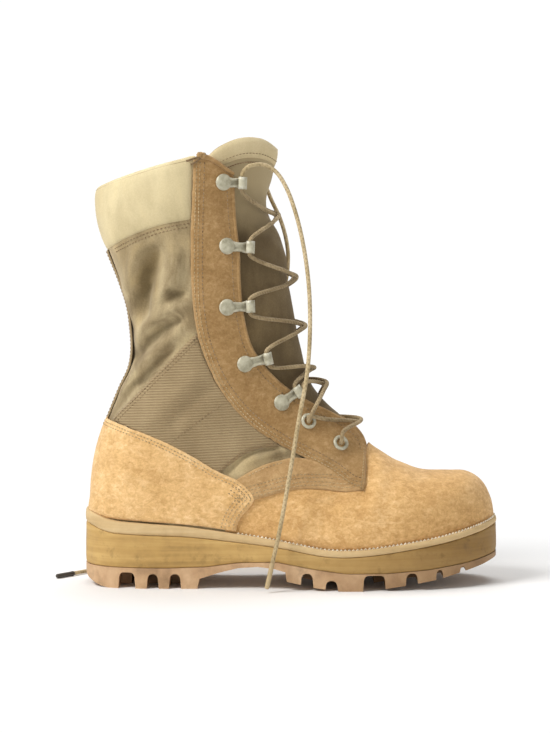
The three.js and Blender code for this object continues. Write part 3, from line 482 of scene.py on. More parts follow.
def panel(name, SF, base, thick, mat, crease=0.0, fray=0.0, roll=0.55, open_sides=(), extra=None):
    """A closed panel with rolled edges from a grid of surface coordinates SF (nu, nv, 2)."""
    nu, nv = SF.shape[:2]
    S, F = SF[..., 0].copy(), SF[..., 1].copy()
    if fray:
        for ax in (0, 1):
            n = nv if ax == 0 else nu
            for e in (0, -1):
                j = RNG.normal(0, fray, n); j = np.convolve(j, [0.25, 0.5, 0.25], "same")
                if ax == 0:
                    d = 1 if e == 0 else -2
                    k = j * 0.22
                    S[e, :] += (S[e, :] - S[d, :]) * k; F[e, :] += (F[e, :] - F[d, :]) * k
                else:
                    d = 1 if e == 0 else -2
                    k = j * 0.22
                    S[:, e] += (S[:, e] - S[:, d]) * k; F[:, e] += (F[:, e] - F[:, d]) * k
    # ring distance from the edge decides the height
    i = np.arange(nu)[:, None]; j = np.arange(nv)[None, :]
    big = 99
    di = np.minimum(i if "bottom" not in open_sides else i + big, (nu - 1 - i) if "top" not in open_sides else nu - 1 - i + big)
    dj = np.minimum(j if "left" not in open_sides else j + big, (nv - 1 - j) if "right" not in open_sides else nv - 1 - j + big)
    ring = np.minimum(di, dj)
    h = np.where(ring == 0, roll, np.where(ring == 1, 0.88, 1.0)) * thick
    if extra is not None:
        h = h + extra(section(S, F), S, F)
    top = surf(S, F, base + h, crease)
    bot = surf(S, F, np.full(S.shape, float(base)), crease)
    V = np.vstack([top.reshape(-1, 3), bot.reshape(-1, 3)])
    n = nu * nv
    Fc = grid_faces(nu, nv) + grid_faces(nu, nv, n, flip=True)
    rim = [k for k in range(nv)] + [k * nv + nv - 1 for k in range(1, nu)] + [(nu - 1) * nv + k for k in range(nv - 2, -1, -1)] + [k * nv for k in range(nu - 2, 0, -1)]
    for a, b in zip(rim, rim[1:] + rim[:1]):
        Fc.append((b, a, n + a, n + b))
    ob = mesh(name, V, Fc, [mat])
    fix_normals(ob)
    return ob


def mirror(SF):
    M = SF.copy(); M[..., 1] = 2 * PI - M[..., 1]
    return M


def wrap_back(SF):
    """Outer half whose last column lies on the back line, joined to its mirror image."""
    M = mirror(SF)[:, ::-1]
    return np.concatenate([SF, M[:, 1:]], 1)


def wrap_front(SF):
    M = SF.copy(); M[..., 1] = -M[..., 1]
    return np.concatenate([M[:, ::-1], SF[:, 1:]], 1)


STITCH = {}


def stitch(group, SFline, off, pitch=3.0, length=2.1, r=0.36, crease=0.0, side=1, lean=0.0):
    """Adds a row of stitches along a line of surface coordinates; side -1 is the inner side."""
    L = np.asarray(SFline, float).copy()
    if side < 0:
        L[:, 1] = 2 * PI - L[:, 1]
    P = surf(L[:, 0], L[:, 1], off, crease)
    d = np.r_[0, np.cumsum(np.linalg.norm(np.diff(P, axis=0), axis=1))]
    n = int(d[-1] / pitch)
    if n < 1:
        return
    at = (np.arange(n) + 0.5) * pitch
    get = lambda A, u: np.stack([np.interp(u, d, A[:, k]) for k in range(A.shape[1])], 1)
    N = normal(L[:, 0], L[:, 1])
    a, c, b = get(P, at - length / 2), get(P, at), get(P, at + length / 2)
    nn = get(N, at)
    STITCH.setdefault(group, []).append((a, c, b, nn, r))


def build_stitches(group, mat):
    V, F = [], []
    for a, c, b, nn, r in STITCH.get(group, []):
        for k in range(len(a)):
            t = b[k] - a[k]; t /= max(np.linalg.norm(t), 1e-9)
            n = nn[k] / np.linalg.norm(nn[k]); w = np.cross(t, n)
            base = len(V)
            for q, rr, up in ((a[k], 0.45, -0.5), (a[k] * 0.7 + b[k] * 0.3, 0.95, 0.25), (c[k], 1.0, 0.45), (a[k] * 0.3 + b[k] * 0.7, 0.95, 0.25), (b[k], 0.45, -0.5)):
                for m in range(6):
                    an = m / 6 * 2 * PI
                    V.append(q + n * (up * r + rr * r * math.sin(an)) + w * rr * r * math.cos(an))
            F += grid_faces(5, 6, base, wrap_v=True)
            F += [tuple(base + m for m in range(6)), tuple(base + 24 + m for m in reversed(range(6)))]
    ob = mesh("stitches_" + group, V, F, [mat])
    fix_normals(ob)
    return ob


def tube_mesh(name, P, r, mat, sides=12, caps=True, ob=True, twist=0.0):
    P = np.asarray(P, float); n = len(P)
    T = np.gradient(P, axis=0); T /= np.linalg.norm(T, axis=1, keepdims=True)
    u = np.cross(T[0], [0, 0, 1.0]);
    if np.linalg.norm(u) < 0.1: u = np.cross(T[0], [0, 1.0, 0])
    u /= np.linalg.norm(u); V = []
    r = np.broadcast_to(np.asarray(r, float), (n,))
    for i in range(n):
        u = u - T[i] * (u @ T[i]); u /= np.linalg.norm(u); v = np.cross(T[i], u)
        for k in range(sides):
            a = 2 * PI * k / sides + twist * i
            V.append(P[i] + r[i] * (u * math.cos(a) + v * math.sin(a)))
    F = grid_faces(n, sides, 0, wrap_v=True)
    if caps:
        F += [tuple(range(sides)), tuple((n - 1) * sides + k for k in reversed(range(sides)))]
    if not ob:
        return V, F
    o = mesh(name, V, F, [mat]); fix_normals(o)
    return o


def prism(name, pts, lo, hi, axis="y"):
    """A scratch solid: a side-view (axis y) or plan (axis z) outline pushed through lo..hi, in millimetres."""
    n = len(pts); V = []
    for q in (lo, hi):
        for a, b in pts:
            V.append((a, q, b) if axis == "y" else (a, b, q))
    F = [tuple(range(n)), tuple(range(2 * n - 1, n - 1, -1))]
    for i in range(n):
        j = (i + 1) % n
        F.append((i, n + i, n + j, j))
    me = bpy.data.meshes.new(name); me.from_pydata(to_m(V).tolist(), [], F)
    ob = bpy.data.objects.new(name, me); bpy.context.scene.collection.objects.link(ob)
    fix_normals(ob)
    return ob


def boolean(ob, cutter, op="DIFFERENCE", solver="EXACT"):
    m = ob.modifiers.new("b", "BOOLEAN"); m.object = cutter; m.operation = op; m.solver = solver
    dg = bpy.context.evaluated_depsgraph_get(); dg.update()
    me = bpy.data.meshes.new_from_object(ob.evaluated_get(dg))
    ob.modifiers.clear(); old = ob.data; ob.data = me; bpy.data.meshes.remove(old)
    cm = cutter.data; bpy.data.objects.remove(cutter); bpy.data.meshes.remove(cm)


# ---------------------------------------------------------------- materials
def mat(name, rough=0.9, metal=0.0, sheen=0.0, spec=0.3, sheen_tint=(1, 0.9, 0.75, 1)):
    m = bpy.data.materials.new(name); m.use_nodes = True
    nt = m.node_tree; b = nt.nodes["Principled BSDF"]
    b.inputs["Roughness"].default_value = rough; b.inputs["Metallic"].default_value = metal
    b.inputs["Sheen Weight"].default_value = sheen; b.inputs["Sheen Roughness"].default_value = 0.5
    b.inputs["Sheen Tint"].default_value = sheen_tint
    b.inputs["Specular IOR Level"].default_value = spec
    return m, nt, b


class N:
    def __init__(self, nt):
        self.nt = nt
        tc = nt.nodes.new("ShaderNodeTexCoord"); self.obj = tc.outputs["Object"]

    def node(self, kind, **kw):
        n = self.nt.nodes.new(kind)
        for k, v in kw.items():
            if k in n.inputs.keys():
                if hasattr(v, "is_linked") or hasattr(v, "links"):
                    self.nt.links.new(v, n.inputs[k])
                else:
                    n.inputs[k].default_value = v
            else:
                setattr(n, k, v)
        return n

    def link(self, a, b):
        self.nt.links.new(a, b)

    def map(self, scale=(1, 1, 1), rot=(0, 0, 0), loc=(0, 0, 0)):
        n = self.nt.nodes.new("ShaderNodeMapping"); self.link(self.obj, n.inputs["Vector"])
        n.inputs["Scale"].default_value = scale; n.inputs["Rotation"].default_value = rot; n.inputs["Location"].default_value = loc
        return n.outputs["Vector"]

    def noise(self, scale, detail=3.0, rough=0.55, vec=None, dist=0.0):
        n = self.nt.nodes.new("ShaderNodeTexNoise"); self.link(vec or self.obj, n.inputs["Vector"])
        n.inputs["Scale"].default_value = scale; n.inputs["Detail"].default_value = detail
        n.inputs["Roughness"].default_value = rough; n.inputs["Distortion"].default_value = dist
        return n.outputs["Fac"]

    def wave(self, scale, direction="Z", vec=None, dist=0.0, profile="SIN"):
        n = self.nt.nodes.new("ShaderNodeTexWave"); n.wave_type = "BANDS"; n.bands_direction = direction; n.wave_profile = profile
        self.link(vec or self.obj, n.inputs["Vector"]); n.inputs["Scale"].default_value = scale
        n.inputs["Distortion"].default_value = dist; n.inputs["Detail"].default_value = 1.0
        return n.outputs["Fac"]

    def ramp(self, fac, stops):
        n = self.nt.nodes.new("ShaderNodeValToRGB"); self.link(fac, n.inputs["Fac"])
        e = n.color_ramp.elements
        while len(e) < len(stops): e.new(0.5)
        for k, (p, c) in enumerate(stops):
            e[k].position = p; e[k].color = (*c, 1) if len(c) == 3 else c
        return n.outputs["Color"]

    def mix(self, fac, a, b, mode="MIX"):
        n = self.nt.nodes.new("ShaderNodeMix"); n.data_type = "RGBA"; n.blend_type = mode
        for s, v in ((n.inputs[0], fac), (n.inputs[6], a), (n.inputs[7], b)):
            if hasattr(v, "links"): self.link(v, s)
            else: s.default_value = v if not isinstance(v, tuple) else (*v, 1)[:4]
        return n.outputs[2]

    def math(self, op, a, b=0.0):
        n = self.nt.nodes.new("ShaderNodeMath"); n.operation = op
        for s, v in ((n.inputs[0], a), (n.inputs[1], b)):
            if hasattr(v, "links"): self.link(v, s)
            else: s.default_value = v
        return n.outputs[0]

    def bump(self, bsdf, h, strength=0.4, distance=0.0005, prev=None):
        n = self.nt.nodes.new("ShaderNodeBump"); self.link(h, n.inputs["Height"])
        n.inputs["Strength"].default_value = strength; n.inputs["Distance"].default_value = distance
        if prev: self.link(prev, n.inputs["Normal"])
        self.link(n.outputs["Normal"], bsdf.inputs["Normal"])
        return n.outputs["Normal"]


def suede(name, dark, mid, light, scuff=0.35):
    m, nt, b = mat(name, 0.93, 0, 0.25, 0.15); g = N(nt)
    fine = g.noise(620, 5, 0.75); nap = g.noise(240, 4, 0.7, g.map((1, 1, 1.5), (0.3, 0.5, 0.2)), 0.6)
    big = g.noise(26, 3, 0.55); mot = g.noise(85, 4, 0.65)
    base = g.ramp(g.math("ADD", g.math("MULTIPLY", nap, 0.45), g.math("ADD", g.math("MULTIPLY", fine, 0.3), g.math("MULTIPLY", big, 0.25))),
                  [(0.34, dark), (0.5, mid), (0.66, light)])
    pat = g.ramp(mot, [(0.40, (0.80, 0.75, 0.68)), (0.55, (1, 1, 1))])
    c = g.mix(0.55, base, pat, "MULTIPLY")
    sc = g.ramp(g.noise(60, 6, 0.7, g.map((0.5, 0.5, 1.6), (0, 0.5, 0)), 1.2), [(0.58, (0, 0, 0)), (0.72, (1, 1, 1))])
    c = g.mix(g.math("MULTIPLY", sc, scuff), c, light)
    geo = nt.nodes.new("ShaderNodeNewGeometry")
    edge = g.ramp(geo.outputs["Pointiness"], [(0.5, (0, 0, 0)), (0.62, (1, 1, 1))])
    c = g.mix(g.math("MULTIPLY", edge, 0.4), c, light)
    g.link(c, b.inputs["Base Color"])
    n1 = g.bump(b, nap, 0.5, 0.0009); g.bump(b, fine, 0.65, 0.0005, n1)
    return m


def cloth(name, dark, mid, light, ribs=None, streak=0.5, sheen=0.2, rough=0.82, mottle=0.0, top=None, folds=()):
    m, nt, b = mat(name, rough, 0, sheen, 0.25); g = N(nt)
    big = g.noise(18, 3, 0.5); st = g.noise(40, 3, 0.6, g.map((1, 1, 0.25), (0, 0.3, 0)))
    fine = g.noise(900, 3, 0.6)
    base = g.ramp(g.math("ADD", g.math("MULTIPLY", big, 0.5), g.math("ADD", g.math("MULTIPLY", st, 0.3), g.math("MULTIPLY", fine, 0.2))),
                  [(0.36, dark), (0.5, mid), (0.64, light)])
    if mottle:
        soft = g.ramp(g.noise(30, 4, 0.6, g.map((1.3, 1, 0.6), (0, 0.45, 0)), 0.8), [(0.36, (0.52, 0.47, 0.40)), (0.5, (0.95, 0.94, 0.92)), (0.66, (1.25, 1.22, 1.14))])
        base = g.mix(mottle, base, soft, "MULTIPLY")
    for x, z, rx, rz, lean, amt in folds:  # painted shade: darker blobs laid over the deep folds, standing for the shadow in them
        mp = nt.nodes.new("ShaderNodeMapping"); mp.vector_type = "TEXTURE"
        wob = nt.nodes.new("ShaderNodeVectorMath"); wob.operation = "MULTIPLY_ADD"
        nz = nt.nodes.new("ShaderNodeTexNoise"); g.link(g.obj, nz.inputs["Vector"]); nz.inputs["Scale"].default_value = 45
        g.link(nz.outputs["Color"], wob.inputs[0]); wob.inputs[1].default_value = (0.012, 0, 0.012); g.link(g.obj, wob.inputs[2])
        g.link(wob.outputs[0], mp.inputs["Vector"])
        mp.inputs["Location"].default_value = ((x + OX) / 1000 + 0.006, 0, z / 1000 + 0.006); mp.inputs["Rotation"].default_value = (0, lean, 0)
        mp.inputs["Scale"].default_value = (rx / 1000, 10, rz / 1000)
        gr_ = nt.nodes.new("ShaderNodeTexGradient"); gr_.gradient_type = "SPHERICAL"; g.link(mp.outputs["Vector"], gr_.inputs["Vector"])
        soft = g.ramp(gr_.outputs["Fac"], [(0.02, (1, 1, 1)), (0.3, (1 - amt * 0.45, 1 - amt * 0.48, 1 - amt * 0.55)), (0.7, (1 - amt, 1 - amt * 1.04, 1 - amt * 1.14))])
        base = g.mix(1.0, base, soft, "MULTIPLY")
    # painted light and shade: above a set height the colour turns to the lighter top colour, so the upper part reads
    # lit and the lower part shaded
    if top:
        sx = nt.nodes.new("ShaderNodeSeparateXYZ"); g.link(g.obj, sx.inputs[0])
        painted_top_light_z = g.math("ADD", sx.outputs["Z"], g.math("MULTIPLY", g.math("SUBTRACT", big, 0.5), 0.05))
        base = g.mix(g.ramp(painted_top_light_z, [(0.255, (0, 0, 0)), (0.292, (1, 1, 1))]), base, top)
    warp = g.wave(560, "Z", g.map((1, 1, 1), (0, 0.35, 0)), 0.3); weft = g.wave(560, "X", g.map((1, 1, 1), (0, 0.35, 0)), 0.3)
    weave = g.math("MAXIMUM", warp, weft)
    c = g.mix(0.22, base, g.ramp(weave, [(0.2, (0.62, 0.60, 0.55)), (0.9, (1, 1, 1))]), "MULTIPLY")
    if ribs:
        rot, pitch, amt = ribs
        r = g.wave(PI * 2 / (pitch * 0.001) / 20.0, "Z", g.map((1, 1, 1), (0, rot, 0)), 0.4)
        c = g.mix(amt, c, g.ramp(r, [(0.1, (0.58, 0.52, 0.46)), (0.55, (1, 1, 1))]), "MULTIPLY")
        g.link(c, b.inputs["Base Color"]); n1 = g.bump(b, r, 0.6, 0.0007); g.bump(b, weave, 0.35, 0.00025, n1)
    else:
        g.link(c, b.inputs["Base Color"]); g.bump(b, weave, 0.45, 0.00028)
    return m


def rubber(name, dark, mid, light, streaks=True, rough=0.62, grime=0.35):
    m, nt, b = mat(name, rough, 0, 0.0, 0.35); g = N(nt)
    st = g.noise(55, 4, 0.6, g.map((0.12, 0.12, 2.6) if streaks else (1, 1, 1)), 0.2); mot = g.noise(120, 3, 0.6); big = g.noise(14, 2, 0.5)
    f = g.math("ADD", g.math("MULTIPLY", st, 0.55), g.math("ADD", g.math("MULTIPLY", mot, 0.2), g.math("MULTIPLY", big, 0.25)))
    c = g.ramp(f, [(0.33, dark), (0.48, mid), (0.66, light)])
    dirt = g.ramp(g.noise(70, 5, 0.7), [(0.56, (0, 0, 0)), (0.75, (1, 1, 1))])
    c = g.mix(g.math("MULTIPLY", dirt, grime), c, tuple(0.72 * v for v in dark))
    # the sole colour gets darker towards the toe end, by a gradient along x with some noise, when grime is above 0.3
    if grime > 0.3:
        sx = nt.nodes.new("ShaderNodeSeparateXYZ"); g.link(g.obj, sx.inputs[0])
        toe = g.ramp(g.math("ADD", g.math("MULTIPLY", sx.outputs["X"], 3.2), g.math("MULTIPLY", big, 0.35)), [(0.10, (1, 1, 1)), (0.56, (0.60, 0.55, 0.48))])
        c = g.mix(1.0, c, toe, "MULTIPLY")
    g.link(c, b.inputs["Base Color"])
    g.link(g.ramp(mot, [(0.3, (rough - 0.12,) * 3), (0.7, (min(1, rough + 0.15),) * 3)]), b.inputs["Roughness"])
    n1 = g.bump(b, st, 0.25, 0.0006); g.bump(b, g.noise(700, 3, 0.6), 0.25, 0.0003, n1)
    return m


def paint(name):
    m, nt, b = mat(name, 0.42, 0.15, 0.0, 0.45); g = N(nt)
    big = g.noise(160, 4, 0.6)
    c = g.ramp(big, [(0.35, (0.30, 0.275, 0.185)), (0.5, (0.43, 0.40, 0.285)), (0.68, (0.54, 0.51, 0.38))])
    geo = nt.nodes.new("ShaderNodeNewGeometry")
    wear = g.math("MULTIPLY", g.ramp(geo.outputs["Pointiness"], [(0.52, (0, 0, 0)), (0.6, (1, 1, 1))]), g.ramp(g.noise(400, 3), [(0.45, (0, 0, 0)), (0.6, (1, 1, 1))]))
    c = g.mix(g.math("MULTIPLY", wear, 0.6), c, (0.75, 0.74, 0.66))
    g.link(c, b.inputs["Base Color"])
    g.link(g.ramp(big, [(0.3, (0.36,) * 3), (0.7, (0.55,) * 3)]), b.inputs["Roughness"])
    g.bump(b, g.noise(900, 2), 0.15, 0.0002)
    return m


def braid(name, dark, mid, light):
    m, nt, b = mat(name, 0.85, 0, 0.2, 0.2); g = N(nt)
    w1 = g.wave(170, "DIAGONAL", g.map((1, 1, 1)), 0.2); w2 = g.wave(170, "DIAGONAL", g.map((-1, 1, 1)), 0.2)
    h = g.math("MAXIMUM", w1, w2)
    c = g.mix(0.5, g.ramp(g.noise(60, 3), [(0.35, dark), (0.5, mid), (0.65, light)]), g.ramp(h, [(0.2, (0.5, 0.45, 0.4)), (0.8, (1, 1, 1))]), "MULTIPLY")
    g.link(c, b.inputs["Base Color"]); g.bump(b, h, 0.6, 0.0005)
    return m


M_SUEDE = suede("suede_vamp", (0.46, 0.255, 0.085), (0.65, 0.39, 0.155), (0.86, 0.60, 0.31), 0.45)
# painted light: the heel counter uses the vamp's suede made lighter, standing for the key light falling on the back of
# the boot
M_COUNTER_LIT = suede("suede_counter", (0.50, 0.29, 0.10), (0.71, 0.445, 0.19), (0.92, 0.67, 0.37), 0.45)
M_EYESTAY = suede("suede_eyestay", (0.24, 0.138, 0.05), (0.355, 0.213, 0.085), (0.50, 0.325, 0.155), 0.3)
M_STRAP = suede("suede_strap", (0.33, 0.195, 0.08), (0.46, 0.285, 0.125), (0.60, 0.40, 0.20), 0.3)
# painted shade: the fold blobs darken the shaft nylon at the crease troughs
M_NYLON = cloth("nylon_shaft", (0.24, 0.175, 0.085), (0.37, 0.285, 0.155), (0.53, 0.43, 0.255), mottle=0.8,
                folds=((46.5, 221, 10, 32, 0.25, 0.58), (67, 210, 11, 6, 0.2, 0.45), (53, 181, 6.5, 28, 0.9, 0.5), (45, 151, 4.5, 30, 0.785, 0.5),
                       (33, 172, 5, 18, 0.12, 0.35), (74, 226, 5, 22, 0.05, 0.25)))
M_COLLAR = cloth("nylon_collar", (0.49, 0.40, 0.222), (0.60, 0.50, 0.29), (0.70, 0.595, 0.36), mottle=0.22)
M_RIB = cloth("nylon_ribbed", (0.26, 0.185, 0.095), (0.335, 0.245, 0.13), (0.42, 0.315, 0.175), ribs=(0.05, 1.9, 0.6))
M_TAPE = cloth("tape", (0.25, 0.18, 0.095), (0.33, 0.245, 0.135), (0.42, 0.32, 0.185))
# painted light and shade: the tongue is dark lower down, standing for its shade, and lighter near the top where light
# falls
M_TONGUE = cloth("nylon_tongue", (0.105, 0.072, 0.033), (0.155, 0.108, 0.05), (0.235, 0.170, 0.085), mottle=0.5, top=(0.42, 0.33, 0.185))
M_BIND = cloth("tongue_binding", (0.47, 0.37, 0.20), (0.60, 0.485, 0.275), (0.70, 0.58, 0.35))
M_LINING = cloth("lining", (0.17, 0.14, 0.09), (0.24, 0.20, 0.13), (0.30, 0.25, 0.17), ribs=(0.0, 3.0, 0.2))
M_INSOLE = cloth("footbed_cloth", (0.10, 0.09, 0.07), (0.15, 0.13, 0.10), (0.20, 0.18, 0.14))
M_MIDSOLE = rubber("midsole_foam", (0.28, 0.168, 0.052), (0.46, 0.283, 0.09), (0.60, 0.40, 0.15), grime=0.7)
M_TREAD = rubber("tread_rubber", (0.30, 0.18, 0.09), (0.50, 0.315, 0.17), (0.68, 0.47, 0.28), False, 0.72, grime=0.5)
M_WELT = rubber("welt_strip", (0.40, 0.265, 0.115), (0.54, 0.375, 0.18), (0.67, 0.50, 0.27), True, 0.7, grime=0.3)
M_PAINT = paint("painted_hardware")
M_LACE = braid("lace_braid", (0.38, 0.29, 0.15), (0.50, 0.39, 0.22), (0.60, 0.48, 0.29))
# painted shade: a darker copy of the lace colour, used for the crossed lace
M_LACE_SHADE = braid("lace_braid_shade", (0.26, 0.19, 0.10), (0.34, 0.255, 0.14), (0.43, 0.33, 0.19))
M_THREAD = braid("thread_light", (0.34, 0.24, 0.12), (0.45, 0.33, 0.17), (0.57, 0.43, 0.245))
M_THREAD_W = braid("thread_welt", (0.74, 0.64, 0.46), (0.84, 0.75, 0.58), (0.92, 0.85, 0.70))
M_THREAD_D = braid("thread_dark", (0.20, 0.13, 0.065), (0.28, 0.19, 0.10), (0.36, 0.26, 0.15))
M_AGLET_T = rubber("aglet_tan", (0.40, 0.30, 0.16), (0.50, 0.385, 0.215), (0.60, 0.47, 0.28), False, 0.4)
M_AGLET = rubber("aglet_plastic", (0.02, 0.016, 0.012), (0.035, 0.028, 0.02), (0.06, 0.05, 0.04), False, 0.4)

# ---------------------------------------------------------------- camera first, then the cords
scene = bpy.context.scene
cam_d = bpy.data.cameras.new("camera"); cam = bpy.data.objects.new("camera", cam_d); scene.collection.objects.link(cam)
cam_d.lens = 100; cam_d.sensor_width = 36; cam_d.sensor_fit = "AUTO"
aim = Vector((-0.012, 0.0, 0.1585)); AZ, EL = math.radians(1.0), math.radians(2.2)
back = Vector((math.sin(AZ) * math.cos(EL), -math.cos(AZ) * math.cos(EL), math.sin(EL)))
cam.location = aim + back * 1.50
cam.rotation_mode = "QUATERNION"; cam.rotation_quaternion = (-back).to_track_quat("-Z", "Y")
scene.camera = cam


def bore(h, side):
    s, f = locate([(h["x"], h["z"])])[0]
    f = f if side < 0 else 2 * PI - f
    n = normal(s, f); p = section(s, f) + n * H0
    d = np.array([h["lx"] - h["x"], 0, h["lz"] - h["z"]]); reach = np.linalg.norm(d)
    d = d - n * (d @ n); d /= np.linalg.norm(d)
    ax = np.cross(n, d); ax /= np.linalg.norm(ax)
    if ax[2] < 0: ax = -ax
    return dict(c=p + d * reach + n * (CURL_R + 0.2), axis=ax, s=s, f=f, p=p, n=n, d=d, reach=reach)


def loose_end(name, rows, side, node, aglet, tip):
    b = bore(HOOKS[0], side)
    pts = [b["c"] + b["axis"] * GAP, b["c"] + b["axis"] * (HOOK_W / 2 + 3.2)] + [[r["x"], r["y"], r["z"]] for r in rows]
    P = resample(catmull(pts, 16), 260)
    ob = tube_mesh(name, P, LACE_R, M_LACE, 12)
    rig.replaces(ob, node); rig.slot(ob, "lace")
    L = float(np.linalg.norm(np.diff(P, axis=0), axis=1).sum())
    T = P[-1] - P[-2]; T /= np.linalg.norm(T)
    u = np.array([0, 0.5, 1.5, 3, 17, 18.2, 18.8, 19.0]); r = np.array([1.55, 1.8, 1.88, 1.7, 1.7, 1.6, 1.2, 0.5])
    ag = tube_mesh("tip_" + name, P[-1] + T * (u[:, None] + GAP), r, tip, 16)
    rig.replaces(ag, aglet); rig.slot(ag, "aglet")
    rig.cord(ob, exit=to_m(P[0]).tolist(), length=L * 0.001, diameter=2 * LACE_R * 0.001, far_end="connector", stiffness="limp", lay="hanging",
            path=to_m(P).tolist(), with_pieces=[ag])
    return L


LEN_NEAR = loose_end("lace_near", NEAR_END, -1, "lace_end_near", "aglet_near", M_AGLET_T)
LEN_FAR = loose_end("lace_far", FAR_END, 1, "lace_end_far", "aglet_far", M_AGLET)
print("lace ends mm", round(LEN_NEAR, 1), round(LEN_FAR, 1))

# ---------------------------------------------------------------- upper shell
FEATHER_L = np.array([[r["x"], r["z"]] for r in FEATHER], float)
FEATHER_L = np.vstack([[-40, 70], catmull(FEATHER_L, 6), [345, 62]])


def feather(x):
    return np.interp(x, FEATHER_L[:, 0], FEATHER_L[:, 1])


throat = line(THROAT, 90); rear = line(EYESTAY_REAR, 110); ctop = line(COLLAR_TOP, 70); seam = line(COLLAR_SEAM, 40)
nu, nv = 230, 150
S, F = np.meshgrid(np.linspace(0, LAST, nu), np.arange(nv) / nv * 2 * PI, indexing="ij")
V, Fc = [], []
for off, flip in ((0.0, False), (-WALL, True)):
    P = surf(S, F, off, 1.0)
    P[-1, :, 1] = section(LAST, 0)[1]
    b0 = len(V) * 0 + sum(len(v) for v in V)
    V.append(P.reshape(-1, 3)); Fc += grid_faces(nu, nv, b0, wrap_v=True, flip=flip)
    Fc.append(tuple(b0 + k for k in (range(nv) if flip else reversed(range(nv)))))
V = np.vstack(V)
me = bpy.data.meshes.new("upper_shell"); me.from_pydata(to_m(V).tolist(), [], Fc)
shell = bpy.data.objects.new("upper_shell", me); scene.collection.objects.link(shell)
import bmesh
bm = bmesh.new(); bm.from_mesh(me); bmesh.ops.remove_doubles(bm, verts=bm.verts, dist=2e-6)
bmesh.ops.dissolve_degenerate(bm, edges=bm.edges, dist=1e-7); bm.to_mesh(me); bm.free()
L = lambda A: [tuple(p) for p in A]
above = [p for p in L(ctop) if p[0] <= 113] + [(150, 294.5), (150, 380), (-10, 380)]
boolean(shell, prism("c1", above, -90, 90))
boolean(shell, prism("c2", [(-30, -20), (340, -20)] + [(x, feather(x) + 0.15) for x in np.linspace(340, -30, 60)], -90, 90))
boolean(shell, prism("c3", L(throat) + [(230, 140), (230, 380), (109.4, 380)], -90, 90))
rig.ride(shell, "root"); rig.replaces(shell, "upper"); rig.slot(shell, "suede")
me = shell.data; me.materials.clear()
for m in (M_NYLON, M_SUEDE, M_LINING): me.materials.append(m)
C = np.array([p.center for p in me.polygons]) * 1000 - [OX, OY, 0]; NN = np.array([p.normal for p in me.polygons])
axis = np.where((C[:, 2] > 112)[:, None], np.stack([np.full(len(C), 92.0), np.zeros(len(C)), C[:, 2]], 1),
                np.stack([np.clip(C[:, 0], 60, 235), np.full(len(C), 2.0), np.full(len(C), 52.0)], 1))
inside = (NN * (C - axis)).sum(1) < -2.0
border = np.interp(C[:, 0], [0, 102, 104, 114, 120, 126, 150, 180, 204, 204.5, 330], [-9, -9, 50, 62, 70, 78, 84, 84, 86, 400, 400])
idx = np.where(inside, 2, np.where(C[:, 2] < border, 1, 0))
me.polygons.foreach_set("material_index", idx.astype(np.int32)); me.polygons.foreach_set("use_smooth", [True] * len(me.polygons))
print("shell", len(me.polygons))
for e in me.edges: pass
sm = shell.modifiers.new("w", "WEIGHTED_NORMAL"); sm.keep_sharp = True


def sf(P):
    return locate(P)


def par(P, d):
    """Line moved square to itself, to the left of its direction."""
    P = np.asarray(P, float); T = np.gradient(P, axis=0); T /= np.linalg.norm(T, axis=1, keepdims=True)
    return P + d * np.stack([-T[:, 1], T[:, 0]], 1)


def back_s(z0, z1, n):
    """Surface coordinates on the back line between two heights."""
    s = np.linspace(0, 17, 1200); z = section(s, PI)[:, 2]
    q = np.linspace(z0, z1, n)
    return np.stack([np.interp(q, z[::-1], s[::-1]), np.full(n, PI)], 1)


def front_s(x_or_z0, z1, n):
    s = np.linspace(0, 20, 1400); z = section(s, 0)[:, 2]
    q = np.linspace(x_or_z0, z1, n)
    return np.stack([np.interp(q, z[::-1], s[::-1]), np.zeros(n)], 1)


B0 = GAP + 0.05
# ---- heel counter: one suede piece round the back
cl = line(COUNTER, 120)
cl = cl[cl[:, 0] > 6.5]
k = int(np.argmax(cl[:, 0]))
c_top, c_edge = cl[:k + 1], cl[k:]
c_edge = c_edge[c_edge[:, 1] > feather(c_edge[:, 0]) + 0.5]
end = c_edge[-1]
c_bot = np.stack([np.linspace(7.0, end[0], 60), feather(np.linspace(7.0, end[0], 60)) + 0.5], 1)
T_ = np.vstack([back_s(122.9, 122.9, 1), sf(c_top)]); Bt_ = np.vstack([back_s(54.0, 54.0, 1), sf(c_bot)])
G = coons(Bt_, T_, back_s(54.0, 122.9, 50), sf(c_edge)[::-1], 46, 90)
G = wrap_back(G[:, ::-1])
ob = panel("heel_counter_suede", G, B0, 1.85, M_COUNTER_LIT, 0.0, 0.5)
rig.replaces(ob, "heel_counter"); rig.slot(ob, "suede")
for side in (-1, 1):
    for d in (-2.4, -4.6):
        stitch("suede", sf(par(c_top[4:], d)), B0 + 1.9, 2.7, 1.9, 0.36, 0, side)
    for d in (-2.6, -5.6, -8.4, -11.0):
        e = np.vstack([c_top[-14:], c_edge[1:]]) if d < -5 else np.vstack([c_top[-4:], c_edge[1:]])
        stitch("light", sf(par(e, d)), B0 + 1.9, 2.7, 1.8, 0.36, 0, side)

# ---- back tape
bs = back_s(120.5, 244.5, 80)[:, 0]
hw = 6.3 / np.maximum(col("wl", bs), 1)
u = np.linspace(-1, 1, 15)
G = np.stack([np.repeat(bs[:, None], 15, 1), PI + hw[:, None] * u[None]], -1)
ob = panel("back_tape", G, B0, 1.5, M_TAPE, 0.0, 0.2)
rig.replaces(ob, "backstay"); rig.slot(ob, "nylon")
for q in (-0.72, 0.72):
    stitch("dark", np.stack([bs, PI + hw * q], 1), B0 + 1.55, 2.8, 2.0, 0.3)

